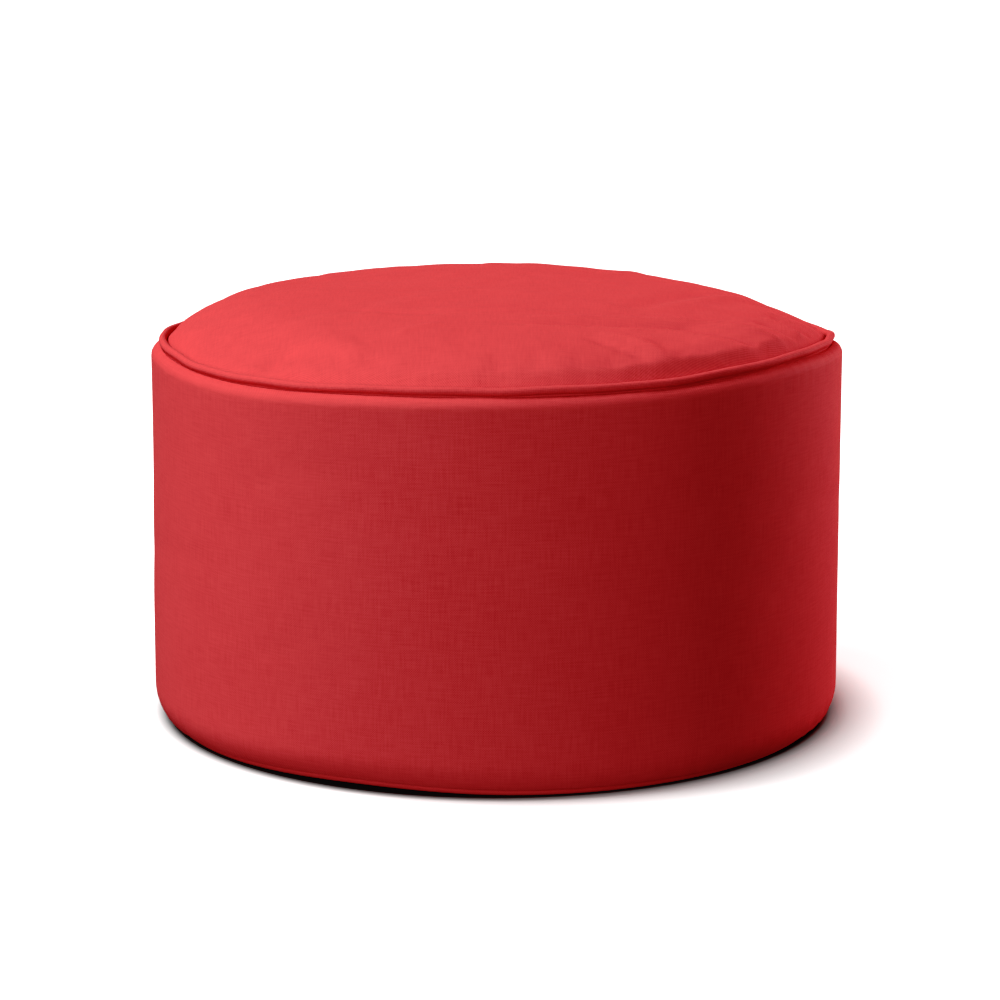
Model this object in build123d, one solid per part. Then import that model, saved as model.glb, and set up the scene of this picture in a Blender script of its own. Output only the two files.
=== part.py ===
from build123d import *
import os
from math import cos, radians, sin

# A round bean-filled floor pouf: a canvas drum with one piped seam round its top, a zip across its base,
# and an inner bag of beads. Millimetres, +Z up, origin on the floor under the middle of the base.
# Everything round is a revolved section, drawn in the (r, z) plane as a path that a ply follows.

# Driving dimensions of the cover
SIDE_R = 225.0            # outside of the side band
PIPING_R = 217.4          # centre line of the piping's ring
PIPING_Z = 249.6          # height of the piping's centre
SEAM_Z = PIPING_Z - 4.0   # height at which the two panels part from the piping's flange
ALLOWANCE = 8.5           # width of the seam allowances round the top
TOP_STITCH_DROP = 3.5     # how far below SEAM_Z the top seam's threads run
CANVAS = 0.6              # thickness of the cover's canvas
EDGE_HEADING = 100.0      # heading of the top where it rises from beside the piping, in degrees
EDGE_BEND = (10.0, 56.0)  # its tight bend there: radius, turn
DOME_BEND = (235.0, 20.0) # the dome's shoulder: radius, turn; its middle is flatter still
SLACK = 0.05              # air between two plies that lie on each other

# Piping: a cord wrapped in the same canvas
CORD_R = 2.0
BULB_R = CORD_R + CANVAS
FLANGE = 2 * CANVAS       # both plies of the piping's flange

# Side band, from the shoulder down to the foot
SHOULDER_HEADING = -20.0         # heading of the canvas where it leaves the top seam, in degrees
SHOULDER_BEND = (7.0, -70.0)     # the roll that brings the wall upright: radius, turn
FOOT_BEND = (27.2, -33.4)        # the foot rolls inwards to the base seam: radius, turn
BACK_ALLOWANCE = 10.0            # width of each pressed-open allowance of the back seam
STRIP_LEN = 200.0                # length of those allowances
STRIP_FOOT_Z = 20.0
BACK_SEAM = (190.0, 25.0, 2.0)   # length, foot height and half gauge of the back seam's threads

# Base: two half rounds, lifted over a shallow recess that keeps the zip off the floor
CREASE_Z = 5.0            # height of the base seam
BASE_STITCH_R = 212.5     # radius of the base seam's threads
BASE_ALLOWANCE = 11.5     # width of the seam allowances round the base
BASE_EDGE_R = 202.5       # inner edge of the base's own allowance
RECESS_Z = 4.0            # depth of the recess under the zip
RECESS_FOOT = (358.0, 68.0)      # length and width where it meets the floor
RECESS_ROOF = (330.0, 40.0)      # length and width at its roof
OPENING = (300.0, 11.2)          # the slot between the folded edges
HEM = 8.4                 # width of the folded edges beside the zip

# Zip: a number five coil zip, closed, with its slider at the +X end
CHAIN_END = 145.0         # the coil runs from -CHAIN_END to the slider
CHAIN_HALF_W = 3.0
CHAIN_Z = 5.5
CHAIN_THICK = 2.3
TAPE = (324.0, 12.5, 0.6)        # length, width, thickness of each tape
SLIDER_X = 137.0
SLIDER_LEN = 11.0
ROW_END = SLIDER_X + 1.3  # the coil rows end inside the slider, short of its post
CHAIN_ROUND = 0.8         # rounding of the coil's flattened loops
SLIDER_FRONT_W = 10.4     # width at the mouth
SLIDER_BACK_W = 8.6       # width at the closing end
PLATE = 1.2               # thickness of each slider plate
CHANNEL = 2.6             # height of the channel between the plates
SLIDER_RIM = 1.0          # thickness of the rims that guide the coil
SLIDER_ROUND = 1.0        # rounding of the plates' corners
TAPE_ROOM = 0.5           # half of the slit between the rims that the tapes run through
MOUTH = 3.0               # how far back the rims stop from the slider's front
POST = (2.0, 1.2)         # half length and half width of the post between the plates
CROWN = (7.0, 1.8, 2.4)   # length, width, height of the bridge that holds the pull
EYE = (1.5, 0.65, 0.3)    # half length of its eye, depth below the pivot, rounding
PIVOT_Z = 1.9
PULL = (25.0, 6.0, 1.1)   # length from the pivot, width, thickness
PULL_ROUND = 1.6
PULL_WINDOW = (4.4, 2.6)  # length and width of the window round the crown
PULL_BAR_R = 0.55
PULL_BAR_LEN = 3.6
PULL_HOLE = (4.0, 1.3)    # the grip hole: distance from the tab's end, radius
STOP_GAP = 0.4            # air between the slider and the top stops
TOP_STOP = (2.0, 1.4, 1.2, 1.0)  # length, reach inwards and outwards of the coil's edge, half height
BOTTOM_STOP = (3.0, 4.0, 1.3)    # length, half width, half height
STOP_ROUND = 0.4
END_TAB = (10.0, 1.0)     # how far the end tabs reach onto the tapes and beyond them
TOPSTITCH_IN = 2.4        # distance of the topstitching from the folded edge
TOPSTITCH_LEN = 296.0
THREAD_R = 0.2

# Inner bag and its filling
LINER = 0.3               # thickness of the nonwoven
LINER_R = 222.6
LINER_SHOULDER = [(34.8, 36.0), (10.0, -30.0), (8.0, 0)]  # in past the top seam's allowances
LINER_SHOULDER_Z = PIPING_Z - 37.6
LINER_EDGE_R = 9.0
LINER_FLOOR_Z = 0.85
LINER_RECESS_Z = 9.0
LINER_RECESS_FOOT = (380.0, 84.0)
LINER_RECESS_ROOF = (344.0, 38.0)
BASE_START = (0.0, LINER_FLOOR_Z)
BASE_MOVES = [(190.0, 0), (14.0, 38.0), (14.0, -38.0), (6.0, 0)]  # flat, then up over the base seam

FROM_BELOW = (Align.CENTER, Align.CENTER, Align.MIN)


# ---------------------------------------------------------------- paths and plies in the section plane

def direction(angle):
    """Unit vector of a heading in degrees, 0 outwards along r and 90 up along z."""
    return Vector(cos(radians(angle)), sin(radians(angle)))


def walk(start, heading, moves):
    """Return a path's stations: its start, then the middle and the end of each move.

    A move is (length, 0) for a straight run, or (radius, turn) for a bend, left turns positive.
    A station is a point and the heading there.
    """
    place, angle = Vector(*start), heading
    stations = [(place, angle)]
    for size, turn in moves:
        if turn == 0:
            steps = [place + direction(angle) * size * share for share in (0.5, 1.0)]
        else:
            reach = size if turn > 0 else -size
            centre = place + direction(angle + 90) * reach
            steps = [centre - direction(angle + turn * share + 90) * reach for share in (0.5, 1.0)]
        stations.append((steps[0], angle + turn / 2))
        angle += turn
        place = steps[1]
        stations.append((place, angle))
    return stations


def edges_along(stations, moves, shift):
    """Return the edges and the two ends of a path carried `shift` to the left of its travel."""
    points = [point + direction(angle + 90) * shift for point, angle in stations]
    points = [(round(point.X, 9), round(point.Y, 9)) for point in points]
    edges = []
    for number, (_, turn) in enumerate(moves):
        first, middle, last = points[2 * number:2 * number + 3]
        edges.append(Line(first, last) if turn == 0 else ThreePointArc(first, middle, last))
    return edges, points[0], points[-1]


def ply(start, heading, moves, shift):
    """Revolve a ply whose visible face follows the path and whose thickness lies `shift` to its left."""
    stations = walk(start, heading, moves)
    face_edges, face_start, face_end = edges_along(stations, moves, 0)
    back_edges, back_start, back_end = edges_along(stations, moves, shift)
    caps = [Line(face_start, back_start), Line(face_end, back_end)]
    section = make_face(face_edges + back_edges + caps)
    return revolve(Plane.XZ * section, Axis.Z)


def to_axis(start, heading, moves, flat_heading):
    """Add the one large bend that brings a path to the axis at flat_heading, dead level."""
    place, angle = walk(start, heading, moves)[-1]
    turn = flat_heading - angle
    return moves + [(place.X / sin(radians(turn)), turn)]


def ring(radius, height, thickness):
    """A thread or cord that runs round the pouf."""
    return Pos(0, 0, height) * Torus(radius, thickness)


def bar(x_range, y_range, z_range):
    """A box given by its limits along each axis."""
    sizes = [high - low for low, high in (x_range, y_range, z_range)]
    middles = [(high + low) / 2 for low, high in (x_range, y_range, z_range)]
    return Pos(*middles) * Box(*sizes)


def lifted_stadium(foot, roof, low_z, high_z):
    """The round-ended hollow under a raised strip of cloth, carried on down below low_z."""
    below = 1.0
    slope = [(wide - narrow) / (high_z - low_z) for wide, narrow in zip(foot, roof)]
    wider = [size + grow * below for size, grow in zip(foot, slope)]
    return loft([
        Plane.XY.offset(low_z - below) * SlotOverall(*wider),
        Plane.XY.offset(high_z) * SlotOverall(*roof),
    ])


def both_ends(shape):
    """The shape and its copy at the other end of the zip."""
    return [shape, mirror(shape, Plane.YZ)]


def both_sides(shape):
    """The shape and its copy on the other side of the zip."""
    return [shape, mirror(shape, Plane.XZ)]


# ---------------------------------------------------------------- cover: top, side and piping

def top_start():
    """Lower end of the top panel's allowance, against the piping's flange."""
    return (PIPING_R - FLANGE / 2 - SLACK, SEAM_Z - ALLOWANCE)


TOP_MOVES = to_axis(
    top_start(), 90.0,
    [
        (ALLOWANCE - 1.2, 0),          # the allowance hangs inside the pouf
        (0.8, 90.0),                   # folds inwards under the piping
        (0.3, 0),
        (1.4, EDGE_HEADING - 180.0),   # turns up against the piping
        EDGE_BEND,
        DOME_BEND,
    ],
    180.0,
)


def make_top_panel():
    """Round top panel, domed by the filling, with its allowance folded down inside."""
    return ply(top_start(), 90.0, TOP_MOVES, CANVAS)


def side_start():
    """Lower end of the side band's top allowance, on the outer side of the flange."""
    return (PIPING_R + FLANGE / 2 + SLACK, SEAM_Z - ALLOWANCE)


def side_moves():
    """Up the top allowance, over the shoulder, down the wall and in along the base allowance."""
    over = [(ALLOWANCE - 0.4, 0), (1.0, SHOULDER_HEADING - 90.0), SHOULDER_BEND]
    room = SIDE_R - walk(side_start(), 90.0, over)[-1][0].X
    over.insert(2, (room / cos(radians(SHOULDER_HEADING)), 0))
    wall_top = walk(side_start(), 90.0, over)[-1][0].Y
    foot = [FOOT_BEND, (0.8, -90.0 - FOOT_BEND[1])]
    foot_drop = -walk((SIDE_R, 0.0), -90.0, foot)[-1][0].Y
    wall = wall_top - foot_drop - CREASE_Z - SLACK
    return over + [(wall, 0)] + foot + [(BASE_ALLOWANCE, 0)]


def make_side_panel():
    """Side band, one strip closed by a vertical seam at the back with its allowances pressed open."""
    band = ply(side_start(), 90.0, side_moves(), -CANVAS)
    inside = SIDE_R - CANVAS
    strip = Cylinder(inside, STRIP_LEN, align=FROM_BELOW)
    strip -= Cylinder(inside - CANVAS, STRIP_LEN, align=FROM_BELOW)
    strip &= bar((-BACK_ALLOWANCE, BACK_ALLOWANCE), (0, SIDE_R), (0, STRIP_LEN))
    slit = bar((-SLACK, SLACK), (SIDE_R / 2, SIDE_R + CANVAS), (0, PIPING_Z))
    return band + Pos(0, 0, STRIP_FOOT_Z) * strip - slit


def make_piping_cover():
    """Bias strip of canvas round the cord, with its flange hanging in the seam."""
    bulb = Pos(PIPING_R, PIPING_Z) * (Circle(BULB_R) - Circle(CORD_R))
    flange_top = PIPING_Z - CORD_R - CANVAS / 2
    flange_bottom = SEAM_Z - ALLOWANCE
    flange = Pos(PIPING_R, (flange_top + flange_bottom) / 2) * Rectangle(FLANGE, flange_top - flange_bottom)
    return revolve(Plane.XZ * (bulb + flange), Axis.Z)


def make_top_seam_thread():
    """Needle and bobbin threads, one each side of the stack of plies."""
    reach = FLANGE / 2 + SLACK + CANVAS + THREAD_R
    height = SEAM_Z - TOP_STITCH_DROP
    return Compound([ring(PIPING_R + side * reach, height, THREAD_R) for side in (-1, 1)])


def make_side_seam_thread():
    """The back seam's two threads, inside the pressed-open allowances."""
    length, foot, half_gauge = BACK_SEAM
    back = SIDE_R - 2 * CANVAS - THREAD_R - 2 * SLACK
    rod = Pos(0, back, foot) * Cylinder(THREAD_R, length, align=FROM_BELOW)
    return Compound([Pos(side * half_gauge) * rod for side in (-1, 1)])


# ---------------------------------------------------------------- base and zip

def base_round():
    """The base before it is split: a flat disc that rolls up to its allowance in the base seam."""
    start = (BASE_EDGE_R, CREASE_Z - SLACK)
    radius, turn = 1.6, 70.0
    steep = cos(radians(turn))
    lower_radius = (start[1] - radius * (1 - steep)) / (1 + steep)
    moves = [(BASE_ALLOWANCE, 0), (radius, -turn), (lower_radius, turn - 180.0)]
    rolled = walk(start, 0.0, moves)[-1][0]
    return ply(start, 0.0, moves + [(rolled.X, 0)], -CANVAS)


def make_base_panel(side):
    """Half of the base, front (side -1) or rear (side 1), folded back beside the zip."""
    hollow = lifted_stadium(RECESS_FOOT, RECESS_ROOF, 0.0, RECESS_Z)
    above_floor = bar((-SIDE_R, SIDE_R), (-SIDE_R, SIDE_R), (0, 2 * RECESS_Z))
    lifted = Pos(0, 0, CANVAS) * hollow & above_floor
    cloth = base_round() + lifted - hollow
    slot_len, half_slot = OPENING[0] / 2, OPENING[1] / 2
    hem_height = (RECESS_Z + CANVAS / 2, RECESS_Z + 2 * CANVAS)
    hem = bar((-slot_len, slot_len), (half_slot, half_slot + HEM), hem_height)
    cloth += both_sides(hem)
    cloth -= bar((-slot_len, slot_len), (-half_slot, half_slot), (0, 2 * RECESS_Z))
    half = bar((-SIDE_R, SIDE_R), (SLACK, SIDE_R), (-1, 4 * RECESS_Z))
    if side < 0:
        half = mirror(half, Plane.XZ)
    return cloth & half


def make_base_seam_thread():
    """Needle and bobbin threads above and below the base seam's two plies."""
    reach = SLACK + CANVAS + THREAD_R
    return Compound([ring(BASE_STITCH_R, CREASE_Z + side * reach, THREAD_R) for side in (-1, 1)])


def tape(side):
    """One woven tape, from the coil outwards."""
    length, width, thick = TAPE
    near, far = CHAIN_HALF_W, CHAIN_HALF_W + width
    strip = bar((-length / 2, length / 2), (near, far), (CHAIN_Z - thick / 2, CHAIN_Z + thick / 2))
    return strip if side > 0 else mirror(strip, Plane.XZ)


def make_zip_coil(side):
    """One row of coil teeth, as the plain bar that the closed row fills."""
    section = RectangleRounded(CHAIN_HALF_W - SLACK, CHAIN_THICK, CHAIN_ROUND)
    middle = (CHAIN_HALF_W + SLACK) / 2
    row = Plane.YZ.offset(-CHAIN_END) * Pos(middle, CHAIN_Z) * section
    row = extrude(row, ROW_END + CHAIN_END)
    return row if side > 0 else mirror(row, Plane.XZ)


def slider_outline():
    """Plan of a slider plate, wider at the mouth, with its middle at the origin."""
    back, front = -SLIDER_LEN / 2, SLIDER_LEN / 2
    half_back, half_front = SLIDER_BACK_W / 2, SLIDER_FRONT_W / 2
    corners = Polyline(
        (back, -half_back),
        (0, -half_front),
        (front, -half_front),
        (front, half_front),
        (0, half_front),
        (back, half_back),
        close=True,
    )
    plan = make_face(corners)
    return fillet(plan.vertices(), SLIDER_ROUND)


def slider_crown(roof):
    """The arched bridge under the lower plate, with the eye that the pull's bar turns in."""
    length, width, height = CROWN
    eye_len, eye_depth, eye_round = EYE
    arch = make_face([
        Line((-length / 2, 0), (length / 2, 0)),
        ThreePointArc((length / 2, 0), (0, -height), (-length / 2, 0)),
    ])
    crown = Pos(0, 0, roof) * Rot(90, 0, 0) * extrude(arch, width / 2, both=True)
    eye = bar((-eye_len, eye_len), (-width, width), (PIVOT_Z - eye_depth, roof))
    return crown - fillet(eye.edges().filter_by(Axis.Y), eye_round)


def make_zip_slider():
    """Slider body: two plates with rims, joined by the post, and the crown below that holds the pull."""
    outline = slider_outline()
    gap = CHANNEL / 2
    front = SLIDER_LEN / 2
    inner = offset(outline, -SLIDER_RIM)
    inner += Rectangle(2 * SLIDER_LEN, SLIDER_BACK_W - 2 * SLIDER_RIM)
    lip = extrude(outline - inner, gap - TAPE_ROOM)
    mouth = bar((front - MOUTH, SLIDER_LEN), (-SLIDER_LEN, SLIDER_LEN), (-gap, gap))
    post = Pos(front - POST[0], 0, -gap) * extrude(Ellipse(*POST), CHANNEL)
    body = Pos(0, 0, gap) * extrude(outline, PLATE) + Pos(0, 0, -gap - PLATE) * extrude(outline, PLATE)
    body += Pos(0, 0, TAPE_ROOM) * lip - mouth
    body += Pos(0, 0, -gap) * lip - mouth
    body += post
    body = Pos(0, 0, CHAIN_Z) * body + slider_crown(CHAIN_Z - gap - PLATE)
    return Pos(SLIDER_X, 0, 0) * body


def make_zip_pull():
    """Pull tab: a flat plate with a window that goes round the crown, hung on a round bar."""
    length, width, thick = PULL
    window_len, window_w = PULL_WINDOW
    plate = Pos(-length / 2, 0, 0) * RectangleRounded(length, width, PULL_ROUND)
    plate -= Pos(-window_len / 2, 0) * Rectangle(window_len, window_w)
    plate = Pos(0, 0, -thick / 2) * extrude(plate, thick)
    rod = Rot(90, 0, 0) * Cylinder(PULL_BAR_R, PULL_BAR_LEN)
    hole = Pos(PULL_HOLE[0] - length, 0, 0) * Cylinder(PULL_HOLE[1], 2 * thick)
    return Pos(SLIDER_X, 0, PIVOT_Z) * (plate + rod - hole)


def make_zip_top_stops():
    """Two crimped stops just past the slider, one on each tape's edge."""
    start = SLIDER_X + SLIDER_LEN / 2 + STOP_GAP
    length, inner, outer, half_height = TOP_STOP
    clip = bar(
        (start, start + length),
        (CHAIN_HALF_W - inner, CHAIN_HALF_W + outer),
        (CHAIN_Z - half_height, CHAIN_Z + half_height),
    )
    clip = fillet(clip.edges().filter_by(Axis.X), STOP_ROUND)
    return Compound([part - tape(side) for part, side in zip(both_sides(clip), (1, -1))])


def make_zip_bottom_stop():
    """One wide crimped stop across both rows at the far end."""
    start = -CHAIN_END - BOTTOM_STOP[0] - 4 * SLACK
    length, half_width, half_height = BOTTOM_STOP
    clip = bar(
        (start, start + length),
        (-half_width, half_width),
        (CHAIN_Z - half_height, CHAIN_Z + half_height),
    )
    clip = fillet(clip.edges().filter_by(Axis.X), STOP_ROUND)
    return clip - tape(1) - tape(-1)


def make_zip_end_tabs():
    """Doubled canvas tabs that close the zip's two ends, lying on the tapes."""
    length, width, thick = TAPE
    inner, outer = END_TAB
    tab = bar(
        (length / 2 - inner, length / 2 + outer),
        (-CHAIN_HALF_W - width, CHAIN_HALF_W + width),
        (CHAIN_Z + thick / 2, CHAIN_Z + thick / 2 + 2 * CANVAS),
    )
    return Compound(both_ends(tab))


def make_zip_topstitching():
    """Two rows of lockstitch along the folded edges, as their plain runs of thread."""
    reach = OPENING[1] / 2 + TOPSTITCH_IN
    run = Rot(0, 90, 0) * Cylinder(THREAD_R, TOPSTITCH_LEN)
    run = Pos(0, reach, RECESS_Z - THREAD_R) * run
    return Compound(both_sides(run))


# ---------------------------------------------------------------- inner bag and beads

def liner_hollow():
    """The hollow that the inner bag leaves over the zip."""
    return lifted_stadium(LINER_RECESS_FOOT, LINER_RECESS_ROOF, LINER_FLOOR_Z, LINER_RECESS_Z)


def liner_side_moves():
    """From the base seam of the bag up its wall and inside the cover's allowance to the dome."""
    place = walk(BASE_START, 0.0, BASE_MOVES)[-1][0]
    corner = LINER_R - place.X
    return [(corner, 90.0), (LINER_SHOULDER_Z - place.Y - corner, 0)] + LINER_SHOULDER


def liner_top_moves():
    """From the wall over the edge bend to the middle of the dome."""
    place, angle = walk(BASE_START, 0.0, BASE_MOVES + liner_side_moves())[-1]
    edge_turn = EDGE_HEADING + EDGE_BEND[1] - angle
    return to_axis(tuple(place)[:2], angle, [(LINER_EDGE_R, edge_turn), DOME_BEND], 180.0)


def make_liner_base():
    """Round base of the bag, lifted over the zip."""
    hollow = liner_hollow()
    disc = ply(BASE_START, 0.0, BASE_MOVES, LINER)
    above = bar((-SIDE_R, SIDE_R), (-SIDE_R, SIDE_R), (LINER_FLOOR_Z, 2 * LINER_RECESS_Z))
    lifted = Pos(0, 0, LINER) * hollow & above
    return disc + lifted - hollow


def make_liner_side():
    """Wall of the bag."""
    place, angle = walk(BASE_START, 0.0, BASE_MOVES)[-1]
    return ply(tuple(place)[:2], angle, liner_side_moves(), LINER)


def make_liner_top():
    """Domed top of the bag."""
    place, angle = walk(BASE_START, 0.0, BASE_MOVES + liner_side_moves())[-1]
    return ply(tuple(place)[:2], angle, liner_top_moves(), LINER)


def make_liner_seam_thread():
    """One chain-stitched run outside each of the bag's two round seams."""
    rings = []
    for moves in (BASE_MOVES, BASE_MOVES + liner_side_moves()):
        place, angle = walk(BASE_START, 0.0, moves)[-1]
        spot = place - direction(angle + 90) * (THREAD_R + SLACK)
        rings.append(ring(spot.X, spot.Y, THREAD_R))
    return Compound(rings)


def make_bead_fill():
    """The loose beads, as the one closed solid that they fill inside the bag."""
    moves = BASE_MOVES + liner_side_moves() + liner_top_moves()
    clear = LINER + SLACK
    edges, first, last = edges_along(walk(BASE_START, 0.0, moves), moves, clear)
    section = make_face(edges + [Line(last, first)])
    solid = revolve(Plane.XZ * section, Axis.Z)
    return solid - Pos(0, 0, clear) * liner_hollow()


PARTS = {
    "top_panel": make_top_panel,
    "side_panel": make_side_panel,
    "top_piping_cover": make_piping_cover,
    "top_piping_cord": lambda: ring(PIPING_R, PIPING_Z, CORD_R),
    "top_seam_thread": make_top_seam_thread,
    "side_seam_thread": make_side_seam_thread,
    "base_panel_front": lambda: make_base_panel(-1),
    "base_panel_rear": lambda: make_base_panel(1),
    "base_seam_thread": make_base_seam_thread,
    "zip_tape_front": lambda: tape(-1),
    "zip_tape_rear": lambda: tape(1),
    "zip_coil_front": lambda: make_zip_coil(-1),
    "zip_coil_rear": lambda: make_zip_coil(1),
    "zip_slider": make_zip_slider,
    "zip_pull": make_zip_pull,
    "zip_top_stops": make_zip_top_stops,
    "zip_bottom_stop": make_zip_bottom_stop,
    "zip_end_tabs": make_zip_end_tabs,
    "zip_topstitching": make_zip_topstitching,
    "liner_base": make_liner_base,
    "liner_side": make_liner_side,
    "liner_top": make_liner_top,
    "liner_seam_thread": make_liner_seam_thread,
    "bead_fill": make_bead_fill,
}

os.makedirs("parts", exist_ok=True)
for name, make in PARTS.items():
    export_step(make(), f"parts/{name}.step")
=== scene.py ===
import math

import bmesh
import bpy
import numpy as np
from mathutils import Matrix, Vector
from mathutils.geometry import delaunay_2d_cdt


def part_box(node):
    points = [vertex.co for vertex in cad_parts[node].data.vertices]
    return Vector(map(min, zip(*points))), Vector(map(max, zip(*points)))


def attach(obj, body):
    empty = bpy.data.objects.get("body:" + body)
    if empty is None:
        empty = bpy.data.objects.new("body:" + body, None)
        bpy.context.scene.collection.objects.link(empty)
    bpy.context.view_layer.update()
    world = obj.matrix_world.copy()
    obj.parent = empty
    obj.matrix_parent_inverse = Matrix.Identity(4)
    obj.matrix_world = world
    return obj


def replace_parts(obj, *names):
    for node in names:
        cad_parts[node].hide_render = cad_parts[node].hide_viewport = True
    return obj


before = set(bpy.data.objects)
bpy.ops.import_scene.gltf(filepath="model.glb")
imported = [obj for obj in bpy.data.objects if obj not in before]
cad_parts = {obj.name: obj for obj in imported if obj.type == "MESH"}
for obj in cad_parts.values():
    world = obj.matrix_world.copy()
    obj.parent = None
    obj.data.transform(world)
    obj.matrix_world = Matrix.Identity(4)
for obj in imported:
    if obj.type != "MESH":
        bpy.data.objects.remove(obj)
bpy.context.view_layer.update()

# ---------------------------------------------------------------- studio and camera
# A white sweep with one large soft light high on the left, a low fill from the front left and a red-tinted
# card at the back right. The camera stands a little over two metres away and looks slightly down.

CAMERA_PLACE = (0.0, -2.2, 0.6157)
CAMERA_DOWN = 12.28
CAMERA_RIGHT = 0.072
CAMERA_LENS = 123.3

camera_data = bpy.data.cameras.new("studio_camera")
camera_data.lens = CAMERA_LENS
camera_data.sensor_width = 36.0
camera = bpy.data.objects.new("studio_camera", camera_data)
camera.location = CAMERA_PLACE
camera.rotation_euler = (math.radians(90 - CAMERA_DOWN), 0, -math.radians(CAMERA_RIGHT))
bpy.context.collection.objects.link(camera)
bpy.context.scene.camera = camera


LIGHTS_AIM = (0, 0, 0.13)


def softbox(name, place, size, power, colour=(1, 1, 1)):
    """A rectangular area light that faces the pouf."""
    data = bpy.data.lights.new(name, "AREA")
    data.shape = "RECTANGLE"
    data.size, data.size_y = size
    data.energy = power
    data.color = colour
    lamp = bpy.data.objects.new(name, data)
    lamp.location = place
    toward = np.array(LIGHTS_AIM) - np.array(place)
    flat = math.hypot(toward[0], toward[1])
    lamp.rotation_euler = (math.atan2(flat, -toward[2]), 0, math.atan2(toward[1], toward[0]) - math.pi / 2)
    bpy.context.collection.objects.link(lamp)
    return lamp


softbox("key", (-2.15, 0.05, 3.05), (2.0, 2.0), 158)
softbox("front fill", (-1.15, -3.05, 0.85), (1.8, 1.2), 54)
card = softbox("card", (1.75, 1.15, 0.5), (0.5, 1.2), 52, colour=(1.0, 0.42, 0.45))


def make_air(above, below, colour):
    """Soft light from all round, stronger from above than from below."""
    world = bpy.data.worlds.new("studio_air")
    world.use_nodes = True
    tree = world.node_tree
    way = tree.nodes.new("ShaderNodeTexCoord")
    parts = tree.nodes.new("ShaderNodeSeparateXYZ")
    ramp = tree.nodes.new("ShaderNodeMapRange")
    ramp.inputs["From Min"].default_value = -0.5
    ramp.inputs["From Max"].default_value = 0.5
    ramp.inputs["To Min"].default_value = below
    ramp.inputs["To Max"].default_value = above
    tree.links.new(way.outputs["Generated"], parts.inputs[0])
    tree.links.new(parts.outputs["Z"], ramp.inputs["Value"])
    tree.links.new(ramp.outputs["Result"], tree.nodes["Background"].inputs["Strength"])
    tree.nodes["Background"].inputs["Color"].default_value = (*colour, 1)
    bpy.context.scene.world = world


make_air(0.13, 0.09, (1.0, 0.92, 0.93))


def grade(points):
    """The picture's tone curve: the deepest tones are pressed darker, the rest is left as it is."""
    view = bpy.context.scene.view_settings
    view.view_transform = "Standard"
    view.use_curve_mapping = True
    curve = view.curve_mapping.curves[3]
    for x, y in points:
        curve.points.new(x, y).handle_type = "AUTO_CLAMPED"
    view.curve_mapping.update()


grade([(0.009, 0.0018), (0.018, 0.0044), (0.031, 0.0160), (0.045, 0.0375), (0.062, 0.063), (0.12, 0.12),
       (0.4, 0.4)])


def new_material(name):
    """A material with its shader, and a short way to add and join nodes."""
    material = bpy.data.materials.new(name)
    material.use_nodes = True
    tree = material.node_tree
    shader = tree.nodes["Principled BSDF"]

    def add(kind, operation=None, **sockets):
        made = tree.nodes.new(kind)
        if operation:
            made.operation = operation
        for key, value in sockets.items():
            socket = made.inputs[int(key[1:])] if key[1:].isdigit() else made.inputs[key.replace("_", " ")]
            if isinstance(value, bpy.types.NodeSocket):
                tree.links.new(value, socket)
            else:
                socket.default_value = value
        return made

    return material, tree, shader, add


def math_node(add, operation, first, second=0.0):
    """One sum of the material's arithmetic."""
    return add("ShaderNodeMath", operation, i0=first, i1=second).outputs[0]


def cloth_coordinates(add):
    """The piece's own coordinates on its cloth, in metres."""
    coordinates = add("ShaderNodeUVMap")
    coordinates.uv_map = "cloth"
    return coordinates.outputs["UV"]


def paint(tree, shader, add, level, colours, height, bump, rough):
    """Tint a shader between two colours by a level, and give it a bump of (strength, distance)."""
    tint = add("ShaderNodeValToRGB", Fac=level)
    for element, colour in zip(tint.color_ramp.elements, colours):
        element.color = (*colour, 1)
    tree.links.new(tint.outputs["Color"], shader.inputs["Base Color"])
    raised = add("ShaderNodeBump", Height=height, Strength=bump[0], Distance=bump[1])
    tree.links.new(raised.outputs["Normal"], shader.inputs["Normal"])
    shader.inputs["Roughness"].default_value = rough


# Painted light on the floor: its glow starts at nothing close round the pouf and rises to these levels, and
# the contact shade is a painted shadow that darkens its colour near the foot.
FLOOR_HALF = 30.0
GLOW_SPAN = 2.0
GLOW_START = 0.223
GLOW_LEVELS = [(0.236, 0.38), (0.260, 0.85), (0.36, 0.94)]
CONTACT_SHADE = {"From_Min": 0.2165, "From_Max": 0.2260, "To_Min": 0.06, "To_Max": 0.93}


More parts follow.
